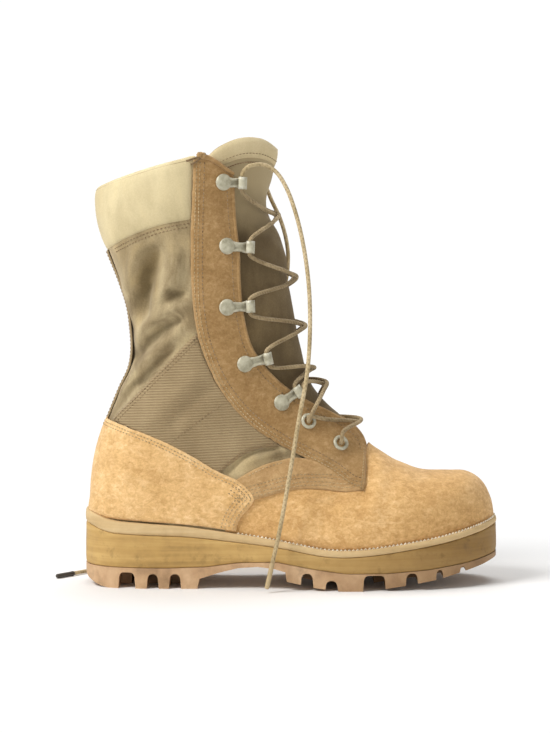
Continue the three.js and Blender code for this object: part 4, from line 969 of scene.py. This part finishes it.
# ---- per side: ribbed reinforcement, straps, eyestays
rib_top = catmull([(20.5, 121.0), (32, 132.5), (50, 150.5), (68, 168.5), (83.5, 184.0)], 14)
rib_low = catmull([(99.5, 83.2), (109, 90.5), (119.5, 97.2), (130, 100.2), (143, 102.4)], 14)
rib_left = catmull([(20.5, 119.0), (34, 114.6), (56, 106.5), (78, 95.5), (99.5, 83.2)], 14)
rib_right = catmull([(84, 184), (87, 172), (97, 150), (116, 125), (143, 102.4)], 14)
e_top = ctop[(ctop[:, 0] > 81.0) & (ctop[:, 0] < 109.3)]
rear_l = rear[rear[:, 1] < e_top[0, 1] + 0.2]
tab = np.array([[203.2, 70.5], [204.6, 76], [205.4, 86], [205.6, 99]])
s_top = np.array([[r["x"], r["z"]] for r in STRAP_TOP], float); s_top = np.vstack([[[109, 77]], s_top, [[170, 91.5], [190, 84], [200, 76]]])
s_low = np.array([[r["x"], r["z"]] for r in STRAP_LOW], float); s_low = np.vstack([[[106.5, 57]], s_low, [[201.5, 71.2]]])
s_top, s_low = catmull(s_top, 10), catmull(s_low, 10)
for side, nm in ((-1, "lateral"), (1, "medial")):
    mm = (lambda g: g) if side < 0 else mirror
    G = coons(sf(rib_left), sf(rib_right), np.array([sf([rib_left[0]])[0], sf([rib_right[0]])[0]]), np.array([sf([rib_left[-1]])[0], sf([rib_right[-1]])[0]]), 40, 60)
    G = coons(sf(rib_left), sf(rib_right), sf(rib_top), sf(rib_low), 44, 56)
    ob = panel("ankle_reinforcement_" + nm, mm(G), 0.05, 1.0, M_RIB, 1.0, 0.0)
    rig.slot(ob, "nylon")
    for d in (-2.0, -4.2):
        stitch("dark", sf(par(rib_top, d)), 1.15, 2.7, 1.9, 0.28, 1.0, side)
    stitch("dark", sf(catmull([(64.6, 105.5), (83, 119.5), (101.4, 133.5)], 14)), 1.15, 2.7, 1.9, 0.28, 1.0, side)
    stitch("dark", sf(par(rib_low, 2.2)), 1.15, 2.7, 1.9, 0.28, 1.0, side)
    # strap between counter and eyestay
    left = np.array([[106.5, 57], [107.5, 67], [109, 77]])
    G = coons(sf(s_low), sf(s_top), sf(left), sf([[201.5, 71.2], [200.5, 76]]), 22, 80)
    ob = panel("vamp_strap_suede_" + nm, mm(G), B0 - 0.2, 1.5, M_STRAP, 0.0, 0.45)
    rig.replaces(ob, "vamp_strap_" + nm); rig.slot(ob, "suede")
    for d in (2.2, 4.6, 7.6, 10.0):
        stitch("suede", sf(par(s_low[6:], d)), B0 + 1.35, 2.7, 1.9, 0.34, 0, side)
    stitch("suede", sf(par(s_top[6:34], -2.2)), B0 + 1.35, 2.7, 1.9, 0.34, 0, side)
    # eyestay
    G = coons(sf(rear_l), sf(throat), sf(e_top), sf(tab), 34, 170)
    lip = lambda p, s, f: 0.0
    ob = panel("eyestay_suede_" + nm, mm(G), B0, 1.8, M_EYESTAY, 0.0, 0.5)
    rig.replaces(ob, "eyestay_" + nm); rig.slot(ob, "suede")
    # rolled front edge of the eyestay
    th = par(throat[2:-1], -1.0); q = sf(th); q[:, 1] = q[:, 1] if side < 0 else 2 * PI - q[:, 1]
    P = surf(q[:, 0], q[:, 1], 0.9)
    ob = tube_mesh("eyestay_roll_" + nm, P, 1.75, M_COUNTER_LIT if False else M_EYESTAY, 12)
    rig.slot(ob, "suede")
    for d, g in ((2.2, "suede"), (4.6, "suede"), (7.6, "dark")):
        stitch(g, sf(par(rear_l, d)), B0 + 1.85, 2.7, 1.9, 0.36, 0, side)
    stitch("dark", sf(par(throat, -5.2)), B0 + 1.85, 2.8, 2.0, 0.34, 0, side)
    stitch("suede", sf(par(tab, 2.4)), B0 + 1.85, 2.6, 1.8, 0.34, 0, side)

# ---- frayed knot and cord along the top edge of the outer eyestay
def on_side(pts, off, side=-1):
    q = sf(catmull(pts, 14)); q[:, 1] = q[:, 1] if side < 0 else 2 * PI - q[:, 1]
    return surf(q[:, 0], q[:, 1], off)


for side, nm in ((-1, "lateral"), (1, "medial")):
    P = on_side([(85.5, 309.6), (91, 308.6), (98, 304.8), (104, 300.4), (108.6, 297.4)], 2.2, side); P[:, 2] += 0.6
    ob = tube_mesh("eyestay_top_roll_" + nm, P, np.linspace(2.0, 1.3, len(P)), M_EYESTAY, 10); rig.slot(ob, "suede")
P = on_side([(85.0, 308.6), (84.4, 309.6), (86.6, 309.9), (88.6, 309.2), (86.4, 308.2), (85.6, 309.4)], 3.4); P[:, 2] += 1.6
P += RNG.normal(0, 0.22, P.shape)
ob = tube_mesh("frayed_knot", P, np.linspace(1.5, 1.1, len(P)), M_EYESTAY, 9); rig.slot(ob, "suede")
P = on_side([(85.5, 308.4), (80.5, 306.8), (76.0, 305.2)], 3.2); P[:, 2] += 1.2
ob = tube_mesh("knot_end_a", P, 0.8, M_THREAD_D, 8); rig.slot(ob, "suede")
P = on_side([(86.0, 308.2), (82.0, 305.0), (79.0, 303.4)], 3.0); P[:, 2] += 0.6
ob = tube_mesh("knot_end_b", P, 0.6, M_THREAD_D, 8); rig.slot(ob, "suede")

# ---- padded collar
zc = lambda f: (1 - f)
seam_ = np.vstack([seam[seam[:, 0] < 78], [[84.5, 265.6]]]); ctop_ = np.vstack([ctop[ctop[:, 0] < 80], [[84.5, 308.5]]])
seam_sf = sf(seam_[seam_[:, 0] > 18.2]); top_sf = sf(ctop_[ctop_[:, 0] > 8.6])
seam_sf = np.vstack([back_s(243.0, 243.0, 1), seam_sf]); top_sf = np.vstack([back_s(287.3, 287.3, 1), top_sf])
A_, B_ = resample(seam_sf, 70)[::-1], resample(top_sf, 70)[::-1]
prof = [(0.0, -3.0), (0.0, -0.8), (0.012, 0.35), (0.05, 1.0), (0.14, 1.7), (0.3, 2.2), (0.5, 2.3), (0.7, 2.0), (0.86, 1.6), (0.95, 0.9),
        (1.015, -0.3), (1.045, -1.9), (1.05, -3.6), (1.035, -5.4), (0.97, -6.8), (0.82, -7.6), (0.6, -8.0), (0.35, -7.8), (0.12, -7.2), (0.02, -6.4), (0.0, -5.0)]
pf = np.array([p[0] for p in prof]); po = np.array([p[1] for p in prof]); npf = len(prof)
half = np.stack([A_[None] * (1 - pf)[:, None, None] + B_[None] * pf[:, None, None]][0:1][0], 0)
G = np.concatenate([half, mirror(half)[:, ::-1][:, 1:]], 1)
nvv = G.shape[1]
vv = np.linspace(0, 1, nvv)
O = np.repeat(po[:, None], nvv, 1)
endf = np.clip((np.minimum(vv, 1 - vv) * (nvv - 1) * 1.3 - 3.0) / 5.0, 0, 1); endf = np.sqrt(endf * (2 - endf))
O = np.where(O > -0.9, -0.9 + (O + 0.9) * endf[None], O)
wr = 0.35 * np.sin(vv * 55 + pf[:, None] * 3) * np.sin(pf[:, None] * PI) * (pf[:, None] < 1) + 0.5 * np.sin(vv * 17 + 1)[None] * np.sin(pf * PI)[:, None]
P = surf(G[..., 0], G[..., 1], O + wr * 0.6, 0.5)
Vc = P.transpose(1, 0, 2).reshape(-1, 3)
Fc = grid_faces(nvv, npf, 0, wrap_v=True) + [tuple(range(npf)), tuple((nvv - 1) * npf + q for q in reversed(range(npf)))]
ob = mesh("collar_pad", Vc, Fc, [M_COLLAR]); fix_normals(ob)
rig.replaces(ob, "collar"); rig.slot(ob, "nylon"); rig.padded(ob, fill=0.6)
sub = ob.modifiers.new("s", "SUBSURF"); sub.levels = 1; sub.render_levels = 1
for side in (-1, 1):
    for d in (-2.0, -4.6):
        stitch("dark", seam_sf_ if False else sf(par(seam[(seam[:, 0] > 20) & (seam[:, 0] < 80)], d)), 0.1, 2.8, 2.0, 0.34, 1.0, side)

# ---- tongue
T0 = -WALL - 0.5
tt = line(TONGUE_TOP, 60); tr = line(TONGUE_REAR, 80)
tt_in = tt[tt[:, 0] < 140.5]
t_top = sf(tt_in)[::-1]; t_top[0, 1] = 0
# a smooth arch across the middle of the top edge: level at the front line
K_ = 16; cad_, zk_ = t_top[K_, 1], section(t_top[K_, 0], t_top[K_, 1])[2]; ss_ = np.linspace(-0.2, 4, 1500)
arch = []
for q in np.linspace(0, 1, 25)[:-1]:
    zt = 317.6 + (zk_ - 317.6) * (q * q * (3 - 2 * q)); f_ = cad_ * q
    arch.append((np.interp(-zt, -section(ss_, np.full(1500, f_))[:, 2], ss_), f_))
t_top = np.vstack([arch, t_top[K_:]])
s0 = t_top[0, 0]
mid = np.stack([np.linspace(s0, 18.6, 120), np.zeros(120)], 1)
t_rear = sf(tr)
t_bot = np.array([[18.6, 0.0], t_rear[-1]])
NU, NV = 120, 40
G = coons(t_top, t_bot, mid, t_rear, NV, NU) if False else None
u_ = np.linspace(0, 1, NU)[:, None, None]; v_ = np.linspace(0, 1, NV)[None, :, None]
Lm, Rm = resample(mid, NU), resample(t_rear, NU); Tm, Bm = resample(t_top, NV), resample(t_bot, NV)
G = ((1 - v_) * Lm[:, None] + v_ * Rm[:, None] + (1 - u_) * Tm[None] + u_ * Bm[None]
     - ((1 - v_) * (1 - u_) * Tm[0] + v_ * (1 - u_) * Tm[-1] + (1 - v_) * u_ * Bm[0] + v_ * u_ * Bm[-1]))
GT = wrap_front(G)


def tongue_lumps(p, s, f):
    z, y = p[..., 2], p[..., 1]
    h = 0.9 * np.sin(z * 0.13 + 0.6 * np.sin(y * 0.1)) * np.exp(-((z - 215) / 60) ** 2)
    h += -1.0 * np.exp(-((y - 9) / 3.0) ** 2) * np.exp(-((z - 300) / 40) ** 2) * 0.6
    h += 0.5 * np.sin(z * 0.3 + y * 0.35) * np.exp(-((z - 250) / 40) ** 2)
    return h * 0.6


ob = panel("tongue_nylon", GT, T0 - TONGUE_T, TONGUE_T, M_TONGUE, 0.0, 0.0, 0.5, extra=tongue_lumps)
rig.replaces(ob, "tongue"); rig.slot(ob, "tongue")
nb = 5
GB = GT[:nb].copy()
ob = panel("tongue_binding", GB, T0 - 0.2, 1.0, M_BIND, 0.0, 0.0, 0.5, extra=tongue_lumps)
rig.slot(ob, "tongue")
stitch("dark", GT[nb - 2, 3:-3], T0 + 0.85, 2.8, 2.0, 0.3)
# painted shadow: a continuous dark thread under the binding's lower edge stands for the shadow the binding casts
stitch("dark", GT[nb, 3:-3], T0 + 0.25, 2.1, 2.1, 0.5)

# ---- insole
xs = np.linspace(9, 296, 120); V = []
for x in xs:
    zf = float(feather(x)) + GAP + INSOLE_T
    q = locate([(min(max(x, 10.0), 296.5), zf + 2.0)])[0]
    yl = section(q[0], q[1])[1] + 3.0; yr = section(q[0], 2 * PI - q[1])[1] - 3.0
    e = math.sin(min(1, (x - 8) / 10) * PI / 2) * math.sin(min(1, (297.5 - x) / 7) * PI / 2)
    c_ = (yl + yr) / 2
    for v in np.linspace(-1, 1, 25):
        V.append((x, c_ + v * (yr - yl) / 2 * e, zf - 0.6 + 2.5 * (abs(v) ** 3) * (x < 150)))
n1 = len(V); V += [(a, b, c - 2.6) for a, b, c in V]
Fc = grid_faces(120, 25) + grid_faces(120, 25, n1, flip=True)
rim = list(range(25)) + [k * 25 + 24 for k in range(1, 120)] + [119 * 25 + k for k in range(23, -1, -1)] + [k * 25 for k in range(118, 0, -1)]
for a, b in zip(rim, rim[1:] + rim[:1]): Fc.append((b, a, n1 + a, n1 + b))
ob = mesh("footbed", V, Fc, [M_INSOLE]); fix_normals(ob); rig.replaces(ob, "insole"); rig.slot(ob, "footbed")

# ---------------------------------------------------------------- sole
def sole_outline(grow=0.0, n=360):
    o = catmull([[r["x"], r["outer"]] for r in OUTLINE], 10); i = catmull([[r["x"], r["inner"]] for r in OUTLINE], 10)[::-1]
    a = np.linspace(-PI / 2, PI / 2, 70)[1:-1]; tip = TOE_TIP + 2.0
    c, d = np.abs(np.cos(a)), np.abs(np.sin(a)); r = (c ** TOE_POWER + d ** TOE_POWER) ** (-1 / TOE_POWER)
    x = TOE_START + (tip - TOE_START) * c * r
    toe = np.stack([x, toe_centre(x) + np.sign(a) * d * r * (TOE_HALF + SOLE_MARGIN)], 1)
    P = resample(np.vstack([o, toe, i]), n + 1)[:-1]
    for _ in range(3): P = (np.roll(P, 1, 0) + 2 * P + np.roll(P, -1, 0)) / 4
    T = np.roll(P, -1, 0) - np.roll(P, 1, 0); T /= np.linalg.norm(T, axis=1, keepdims=True)
    return P + grow * np.stack([T[:, 1], -T[:, 0]], 1), P


def tread(x): return np.interp(x, *np.array([[r["x"], r["z"]] for r in TREAD]).T)
def welt_h(x): return np.interp(x, *np.array([[r["x"], r["h"]] for r in WELT_H]).T)


def ring_solid(name, prof, lo, hi, mats):
    """Wall of levels (fraction, outward) between two height functions; the caps that close it are added by the caller.
    """
    nO = 360; V = []
    for f, g in prof:
        P, Q = sole_outline(g, nO)
        zl, zh = lo(Q[:, 0]), hi(Q[:, 0])
        V.append(np.stack([P[:, 0], P[:, 1], zl + (zh - zl) * f], 1))
    m = len(V); V = np.vstack(V)
    Fc = grid_faces(m, nO, 0, wrap_v=True)
    return V, Fc, m, nO


midprof = [(0.0, -9), (0.0, -1.2), (0.015, -0.4), (0.05, 0.0), (0.2, 0.25), (0.5, 0.2), (0.8, 0.0), (0.95, -0.05), (0.985, -0.35), (1.0, -1.2), (1.0, -9)]
V, Fc, m, nO = ring_solid("m", midprof, lambda x: tread(x) + 0.1, lambda x: feather(x) - welt_h(x) - 0.1, None)
Fc += [tuple(range(nO)), tuple((m - 1) * nO + k for k in reversed(range(nO)))]
ob = mesh("midsole_wedge", V, Fc, [M_MIDSOLE]); fix_normals(ob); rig.replaces(ob, "midsole"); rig.slot(ob, "midsole")
weltprof = [(0.0, -9.5), (0.0, -1.0), (0.04, -0.35), (0.12, 0.1), (0.45, 0.35), (0.8, 0.15), (0.93, -0.25), (1.0, -0.9), (1.0, -2.5), (1.0, -9.5)]
V, Fc, m, nO = ring_solid("w", weltprof, lambda x: feather(x) - welt_h(x), lambda x: feather(x) + 0.0, None)
Fc += [((m - 1) * nO + k, (m - 1) * nO + (k + 1) % nO, (k + 1) % nO, k) for k in range(nO)]
ob = mesh("welt_rim", V, Fc, [M_WELT]); fix_normals(ob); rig.replaces(ob, "welt"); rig.slot(ob, "welt")
# welt stitches, round the forefoot
P, Q = sole_outline(-1.3, 1400)
sel = np.where(Q[:, 0] > 112)[0]
P = P[sel]; Z = feather(Q[sel, 0]) + 0.25
L3 = np.column_stack([P, Z]); d = np.r_[0, np.cumsum(np.linalg.norm(np.diff(L3, axis=0), axis=1))]
at = np.arange(1.0, d[-1] - 2, 2.9)
g3 = lambda u: np.stack([np.interp(u, d, L3[:, k]) for k in range(3)], 1)
up = np.tile(np.array([0, 0, 1.0]), (len(at), 1))
STITCH.setdefault("welt", []).append((g3(at - 1.0), g3(at) + [0, 0, 0.25], g3(at + 1.0), up, 0.62))

# outsole: side profile within the outline, then the grooves
gr = [(r["x"], r["z"]) for r in GROUND]
xs = np.linspace(308, -6, 50)
P, _ = sole_outline(0.1, 300)
out = prism("outsole_lugs", [tuple(p) for p in P], -3, 40, "z")
boolean(out, prism("c", gr + [(x, float(tread(x))) for x in xs], -90, 90), "INTERSECT")
for g in GROOVES:
    w_ = g["to"] - g["from"]; tp = min(1.6, w_ / 5)
    for y0, y1, dx in ((-80, -13, 0), (13, 80, 0), (-13.5, 13.5, 7.5 if g["to"] < 80 else -7.5)):
        if dx > 0 and g["to"] + dx > 83: continue
        a, b = g["from"] + dx, g["to"] + dx
        cy = 1.5 if g["from"] > 140 else 0
        ptsl = [(a - 0.6, -5), (b + 0.6, -5), (b - tp * 0.3, g["top"] - 3), (b - tp * 0.9, g["top"] - 1), (b - tp * 2.0, g["top"]),
                (a + tp * 2.0, g["top"]), (a + tp * 0.9, g["top"] - 1), (a + tp * 0.3, g["top"] - 3)]
        boolean(out, prism("c", ptsl, y0 + cy, y1 + cy))
for x0, x1, z1, cy in ((16, 76, 4.4, 0), (150, 268, 8, 1.5)):
    for sd in (-15, 15):
        boolean(out, prism("c", [(x0, -4), (x1, -4), (x1, z1 + (5 if x1 > 200 else 0)), (x0 + 60 if x1 > 200 else x1 - 1, 5.2), (x0, z1)], sd + cy - 2, sd + cy + 2))
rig.ride(out, "root"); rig.replaces(out, "outsole"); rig.slot(out, "tread")
out.data.materials.clear(); out.data.materials.append(M_TREAD)
bv = out.modifiers.new("bv", "BEVEL"); bv.width = 0.0007; bv.segments = 2; bv.limit_method = "ANGLE"; bv.angle_limit = math.radians(35)

# ---------------------------------------------------------------- hardware
def place(V, h_or_xz, side, d2, off=H0):
    s, f = locate([h_or_xz])[0]; f = f if side < 0 else 2 * PI - f
    n = normal(s, f); p = section(s, f) + n * off
    d = np.array([d2[0], 0, d2[1]], float); d -= n * (d @ n); d /= np.linalg.norm(d)
    w = np.cross(n, d)
    V = np.asarray(V, float)
    return p + V[:, :1] * d + V[:, 1:2] * w + V[:, 2:] * n


def lathe(prof, seg=32, closed=False):
    V, F = [], []
    for r, z in prof:
        for k in range(seg):
            a = 2 * PI * k / seg; V.append((r * math.cos(a), r * math.sin(a), z))
    m = len(prof); F = grid_faces(m, seg, 0, wrap_v=True)
    if closed: F += [((m - 1) * seg + k, (m - 1) * seg + (k + 1) % seg, (k + 1) % seg, k) for k in range(seg)]
    else: F += [tuple(range(seg)), tuple((m - 1) * seg + k for k in reversed(range(seg)))]
    return V, F


def strap_mesh(reach):
    cx, cz = reach, CURL_R + 0.2
    arc = lambda r, a0, a1, n: [(cx + r * math.cos(a), cz + r * math.sin(a)) for a in np.linspace(a0, a1, n)]
    c = [(2.0, 0.75), (cx - 3.5, 0.7)] + arc((CURL_R + BORE_R) / 2, -PI / 2, PI * 0.93, 20)
    c = resample(c, 40); t = np.gradient(c, axis=0); t /= np.linalg.norm(t, axis=1, keepdims=True); nn = np.stack([t[:, 1], -t[:, 0]], 1)
    # cross-section across the strap: raised side rails and a hollow middle
    w = HOOK_W / 2
    ys = [-w, -w + 0.5, -w + 1.0, -w + 1.9, -1.2, 0, 1.2, w - 1.9, w - 1.0, w - 0.5, w]
    hs = [0.3, 0.95, 1.15, 0.9, 0.0, -0.1, 0.0, 0.9, 1.15, 0.95, 0.3]
    V = []; ring = [(y, -h) for y, h in zip(ys, hs)] + [(y, 0.35) for y in (w, w / 2, 0, -w / 2, -w)]
    for i in range(len(c)):
        sc = (1.0 - 0.2 * math.exp(-((i - 11) / 6) ** 2)) * (1.0 + 0.16 * min(1, i / 22))
        for y, o in ring:
            q = c[i] + nn[i] * o
            V.append((q[0], y * sc, q[1]))
    m = len(c); k = len(ring)
    return V, grid_faces(m, k, 0, wrap_v=True) + [tuple(range(k)), tuple((m - 1) * k + j for j in reversed(range(k)))]


def join(parts):
    V, F = [], []
    for v, f in parts:
        b = len(V); V += [tuple(p) for p in v]; F += [tuple(b + q for q in g) for g in f]
    return V, F


for side, nm in ((-1, "lateral"), (1, "medial")):
    for i, h in enumerate(HOOKS):
        d2 = (h["lx"] - h["x"], h["lz"] - h["z"])
        HR = HOOK_R * 1.04
        cap = lathe([(0.05, 0.0), (HOOK_R * 0.9, 0.0), (HOOK_R * 0.99, 0.4), (HOOK_R, 0.8), (HOOK_R * 0.97, 1.25), (HOOK_R * 0.88, 1.75), (HOOK_R * 0.7, 2.2), (HOOK_R * 0.45, 2.5), (HOOK_R * 0.2, 2.62), (0.05, 2.65)])
        V, Fh = join([cap, strap_mesh(math.hypot(*d2))])
        ob = mesh(f"speed_hook_{nm}_{i+1}", place(V, (h["x"], h["z"]), side, d2), Fh, [M_PAINT])
        fix_normals(ob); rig.replaces(ob, f"hook_{nm}_{i+1}"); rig.slot(ob, "painted_hardware")
        for mm_ in ob.data.polygons: pass
    for i, e in enumerate(EYELETS):
        V, Fh = lathe([(EYELET_BORE, -5), (3.9, -5), (3.9, 0), (EYELET_R - 0.1, 0.0), (EYELET_R, 0.35), (EYELET_R - 0.25, 0.85), (EYELET_R - 0.9, 1.25), (4.3, 1.4), (3.7, 1.2), (EYELET_BORE, 0.6)], 40, True)
        ob = mesh(f"ring_eyelet_{nm}_{i+1}", place(V, (e["x"], e["z"]), side, (1, 0)), Fh, [M_PAINT])
        fix_normals(ob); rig.replaces(ob, f"eyelet_{nm}_{i+1}"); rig.slot(ob, "painted_hardware")
        # painted shade: a near-black disc inside each eyelet ring stands for the shadow in the hole
        V, Fh = lathe([(0.05, 0.2), (3.2, 0.2), (3.2, 0.35), (0.05, 0.35)], 24)
        ob = mesh(f"eyelet_shade_{nm}_{i+1}", place(V, (e["x"], e["z"]), side, (1, 0), 0.35), Fh, [M_AGLET]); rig.slot(ob, "aglet")

# ---------------------------------------------------------------- lace crossings
def front(s, y, off):
    phi = 0.02 - y / 60 if y < 0 else 2 * PI - 0.02 - y / 60
    return surf(s, phi, off)


LIFT = [1.8, 4.2]; EXIT = HOOK_W / 2 + 1.6
s_at = lambda z: float(np.interp(-z, -COL['az'], np.arange(LAST + 1)))
runs = []
for i in range(len(HOOKS) - 1):
    for side in (-1, 1):
        a, b = bore(HOOKS[i], side), bore(HOOKS[i + 1], -side)
        lift = LIFT[(i + (1 if side > 0 else 0)) % 2]
        sm = s_at((HOOKS[i]["lz"] + HOOKS[i + 1]["lz"]) / 2 - (0 if i < 2 else -4))
        pts = [a["c"], a["c"] - a["axis"] * EXIT, front(sm - 0.30, side * 17, lift + 0.4), front(sm, 0, lift),
               front(sm + 0.22, -side * 17, lift + 0.4), b["c"] + b["axis"] * EXIT, b["c"]]
        runs.append(resample(catmull(pts, 14), 90))


def eye(i, side):
    s, f = locate([(EYELETS[i]["x"], EYELETS[i]["z"])])[0]; f = f if side < 0 else 2 * PI - f
    return section(s, f), normal(s, f), s, f


# through the eyelets: up out of each hole and across the throat
for i, (sgn) in enumerate((1, 1)):
    for side in (-1, 1):
        p, n, s, f = eye(i, side)
        if i == 0:
            b = bore(HOOKS[4], -side)
            pts = [p - n * 1.0, p + n * 3.2, p + n * 6.0 + np.array([1.5, 0, 5.0]), surf(s - 1.6, f * 0 + (0.25 if side < 0 else 2 * PI - 0.25), 7.0 if side < 0 else 4.4),
                   surf(s - 2.1, 0.0, 7.4 if side < 0 else 4.6), surf(s - 2.7, (2 * PI - 0.42) if side < 0 else 0.42, 6.0), b["c"] - b["axis"] * EXIT, b["c"]]
        else:
            q, m_, s2, f2 = eye(0, -side)
            pts = [p - n * 1.0, p + n * 3.2, p + n * 5.6 + np.array([0.5, 0, 6.5]), surf(s - 0.9, 0.0, 5.6 if side < 0 else 2.6),
                   surf(s2 + 0.35, (2 * PI - 0.5) if side < 0 else 0.5, 4.6), q + m_ * 3.6 + np.array([0, 0, 3.0]), q + m_ * 2.2]
        runs.append(resample(catmull(pts, 14), 80))
parts = [tube_mesh("", P, LACE_R, None, 10, ob=False) for P in runs]
V, Fl = join(parts)
ob = mesh("lace_crossed", V, Fl, [M_LACE_SHADE]); fix_normals(ob)
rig.replaces(ob, "lace_crossings"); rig.slot(ob, "lace")

build_stitches("suede", M_THREAD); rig.slot(bpy.data.objects["stitches_suede"], "suede")
build_stitches("light", M_THREAD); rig.slot(bpy.data.objects["stitches_light"], "suede")
build_stitches("dark", M_THREAD_D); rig.slot(bpy.data.objects["stitches_dark"], "suede")
build_stitches("welt", M_THREAD_W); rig.slot(bpy.data.objects["stitches_welt"], "welt")

# ---------------------------------------------------------------- floor, light
fm, nt, b = mat("floor_white", 0.9, 0, 0, 0.1); b.inputs["Base Color"].default_value = (0.88, 0.875, 0.865, 1)
g = N(nt); far = nt.nodes.new("ShaderNodeVectorMath"); far.operation = "LENGTH"; g.link(g.map((0.72, 1.15, 1)), far.inputs[0])
glow = g.ramp(far.outputs["Value"], [(0.13, (0, 0, 0)), (0.42, (1, 1, 1))])
g.link(g.mix(glow, (0.88, 0.875, 0.865), (0.0, 0.0, 0.0)), b.inputs["Base Color"])
g.link(glow, b.inputs["Emission Strength"]); b.inputs["Emission Color"].default_value = (1.02, 1.02, 1.02, 1)
me = bpy.data.meshes.new("floor"); me.from_pydata([(-6, -6, 0), (6, -6, 0), (6, 6, 0), (-6, 6, 0)], [], [(0, 1, 2, 3)])
fl = bpy.data.objects.new("floor", me); scene.collection.objects.link(fl); me.materials.append(fm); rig.stage(fl)
w = bpy.data.worlds.new("w"); scene.world = w; w.use_nodes = True
bg = w.node_tree.nodes["Background"]; bg.inputs[1].default_value = 1.0
wn = w.node_tree; tc = wn.nodes.new("ShaderNodeTexCoord"); sx = wn.nodes.new("ShaderNodeSeparateXYZ"); wn.links.new(tc.outputs["Generated"], sx.inputs[0])
wr_ = wn.nodes.new("ShaderNodeValToRGB"); wn.links.new(sx.outputs["Z"], wr_.inputs["Fac"]); wn.links.new(wr_.outputs["Color"], bg.inputs["Color"])
wr_.color_ramp.elements[0].position = 0.16; wr_.color_ramp.elements[0].color = (1.02, 1.02, 1.02, 1)
wr_.color_ramp.elements[1].position = 0.42; wr_.color_ramp.elements[1].color = (0.26, 0.255, 0.25, 1)


def area(name, loc, size, power, target=(0, 0, 0.14)):
    l = bpy.data.lights.new(name, "AREA"); l.shape = "RECTANGLE"; l.size, l.size_y = size; l.energy = power
    o = bpy.data.objects.new(name, l); scene.collection.objects.link(o); o.location = loc
    o.rotation_mode = "QUATERNION"; o.rotation_quaternion = (Vector(loc) - Vector(target)).to_track_quat("Z", "Y")


area("key", (-1.0, -0.75, 1.35), (0.7, 0.7), 27)
area("fill", (0.9, -1.5, 1.0), (1.2, 1.0), 1.5)
area("top", (0.2, 0.6, 1.6), (1.2, 1.0), 14)
scene.view_settings.view_transform = "Standard"; scene.view_settings.look = "None"
scene.view_settings.exposure = 0.0; scene.view_settings.gamma = 1.0

lo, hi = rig.bounds()
json.dump({"cad": CAD_BOX, "visual": [list(map(float, lo)), list(map(float, hi))]}, open("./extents.json", "w"))
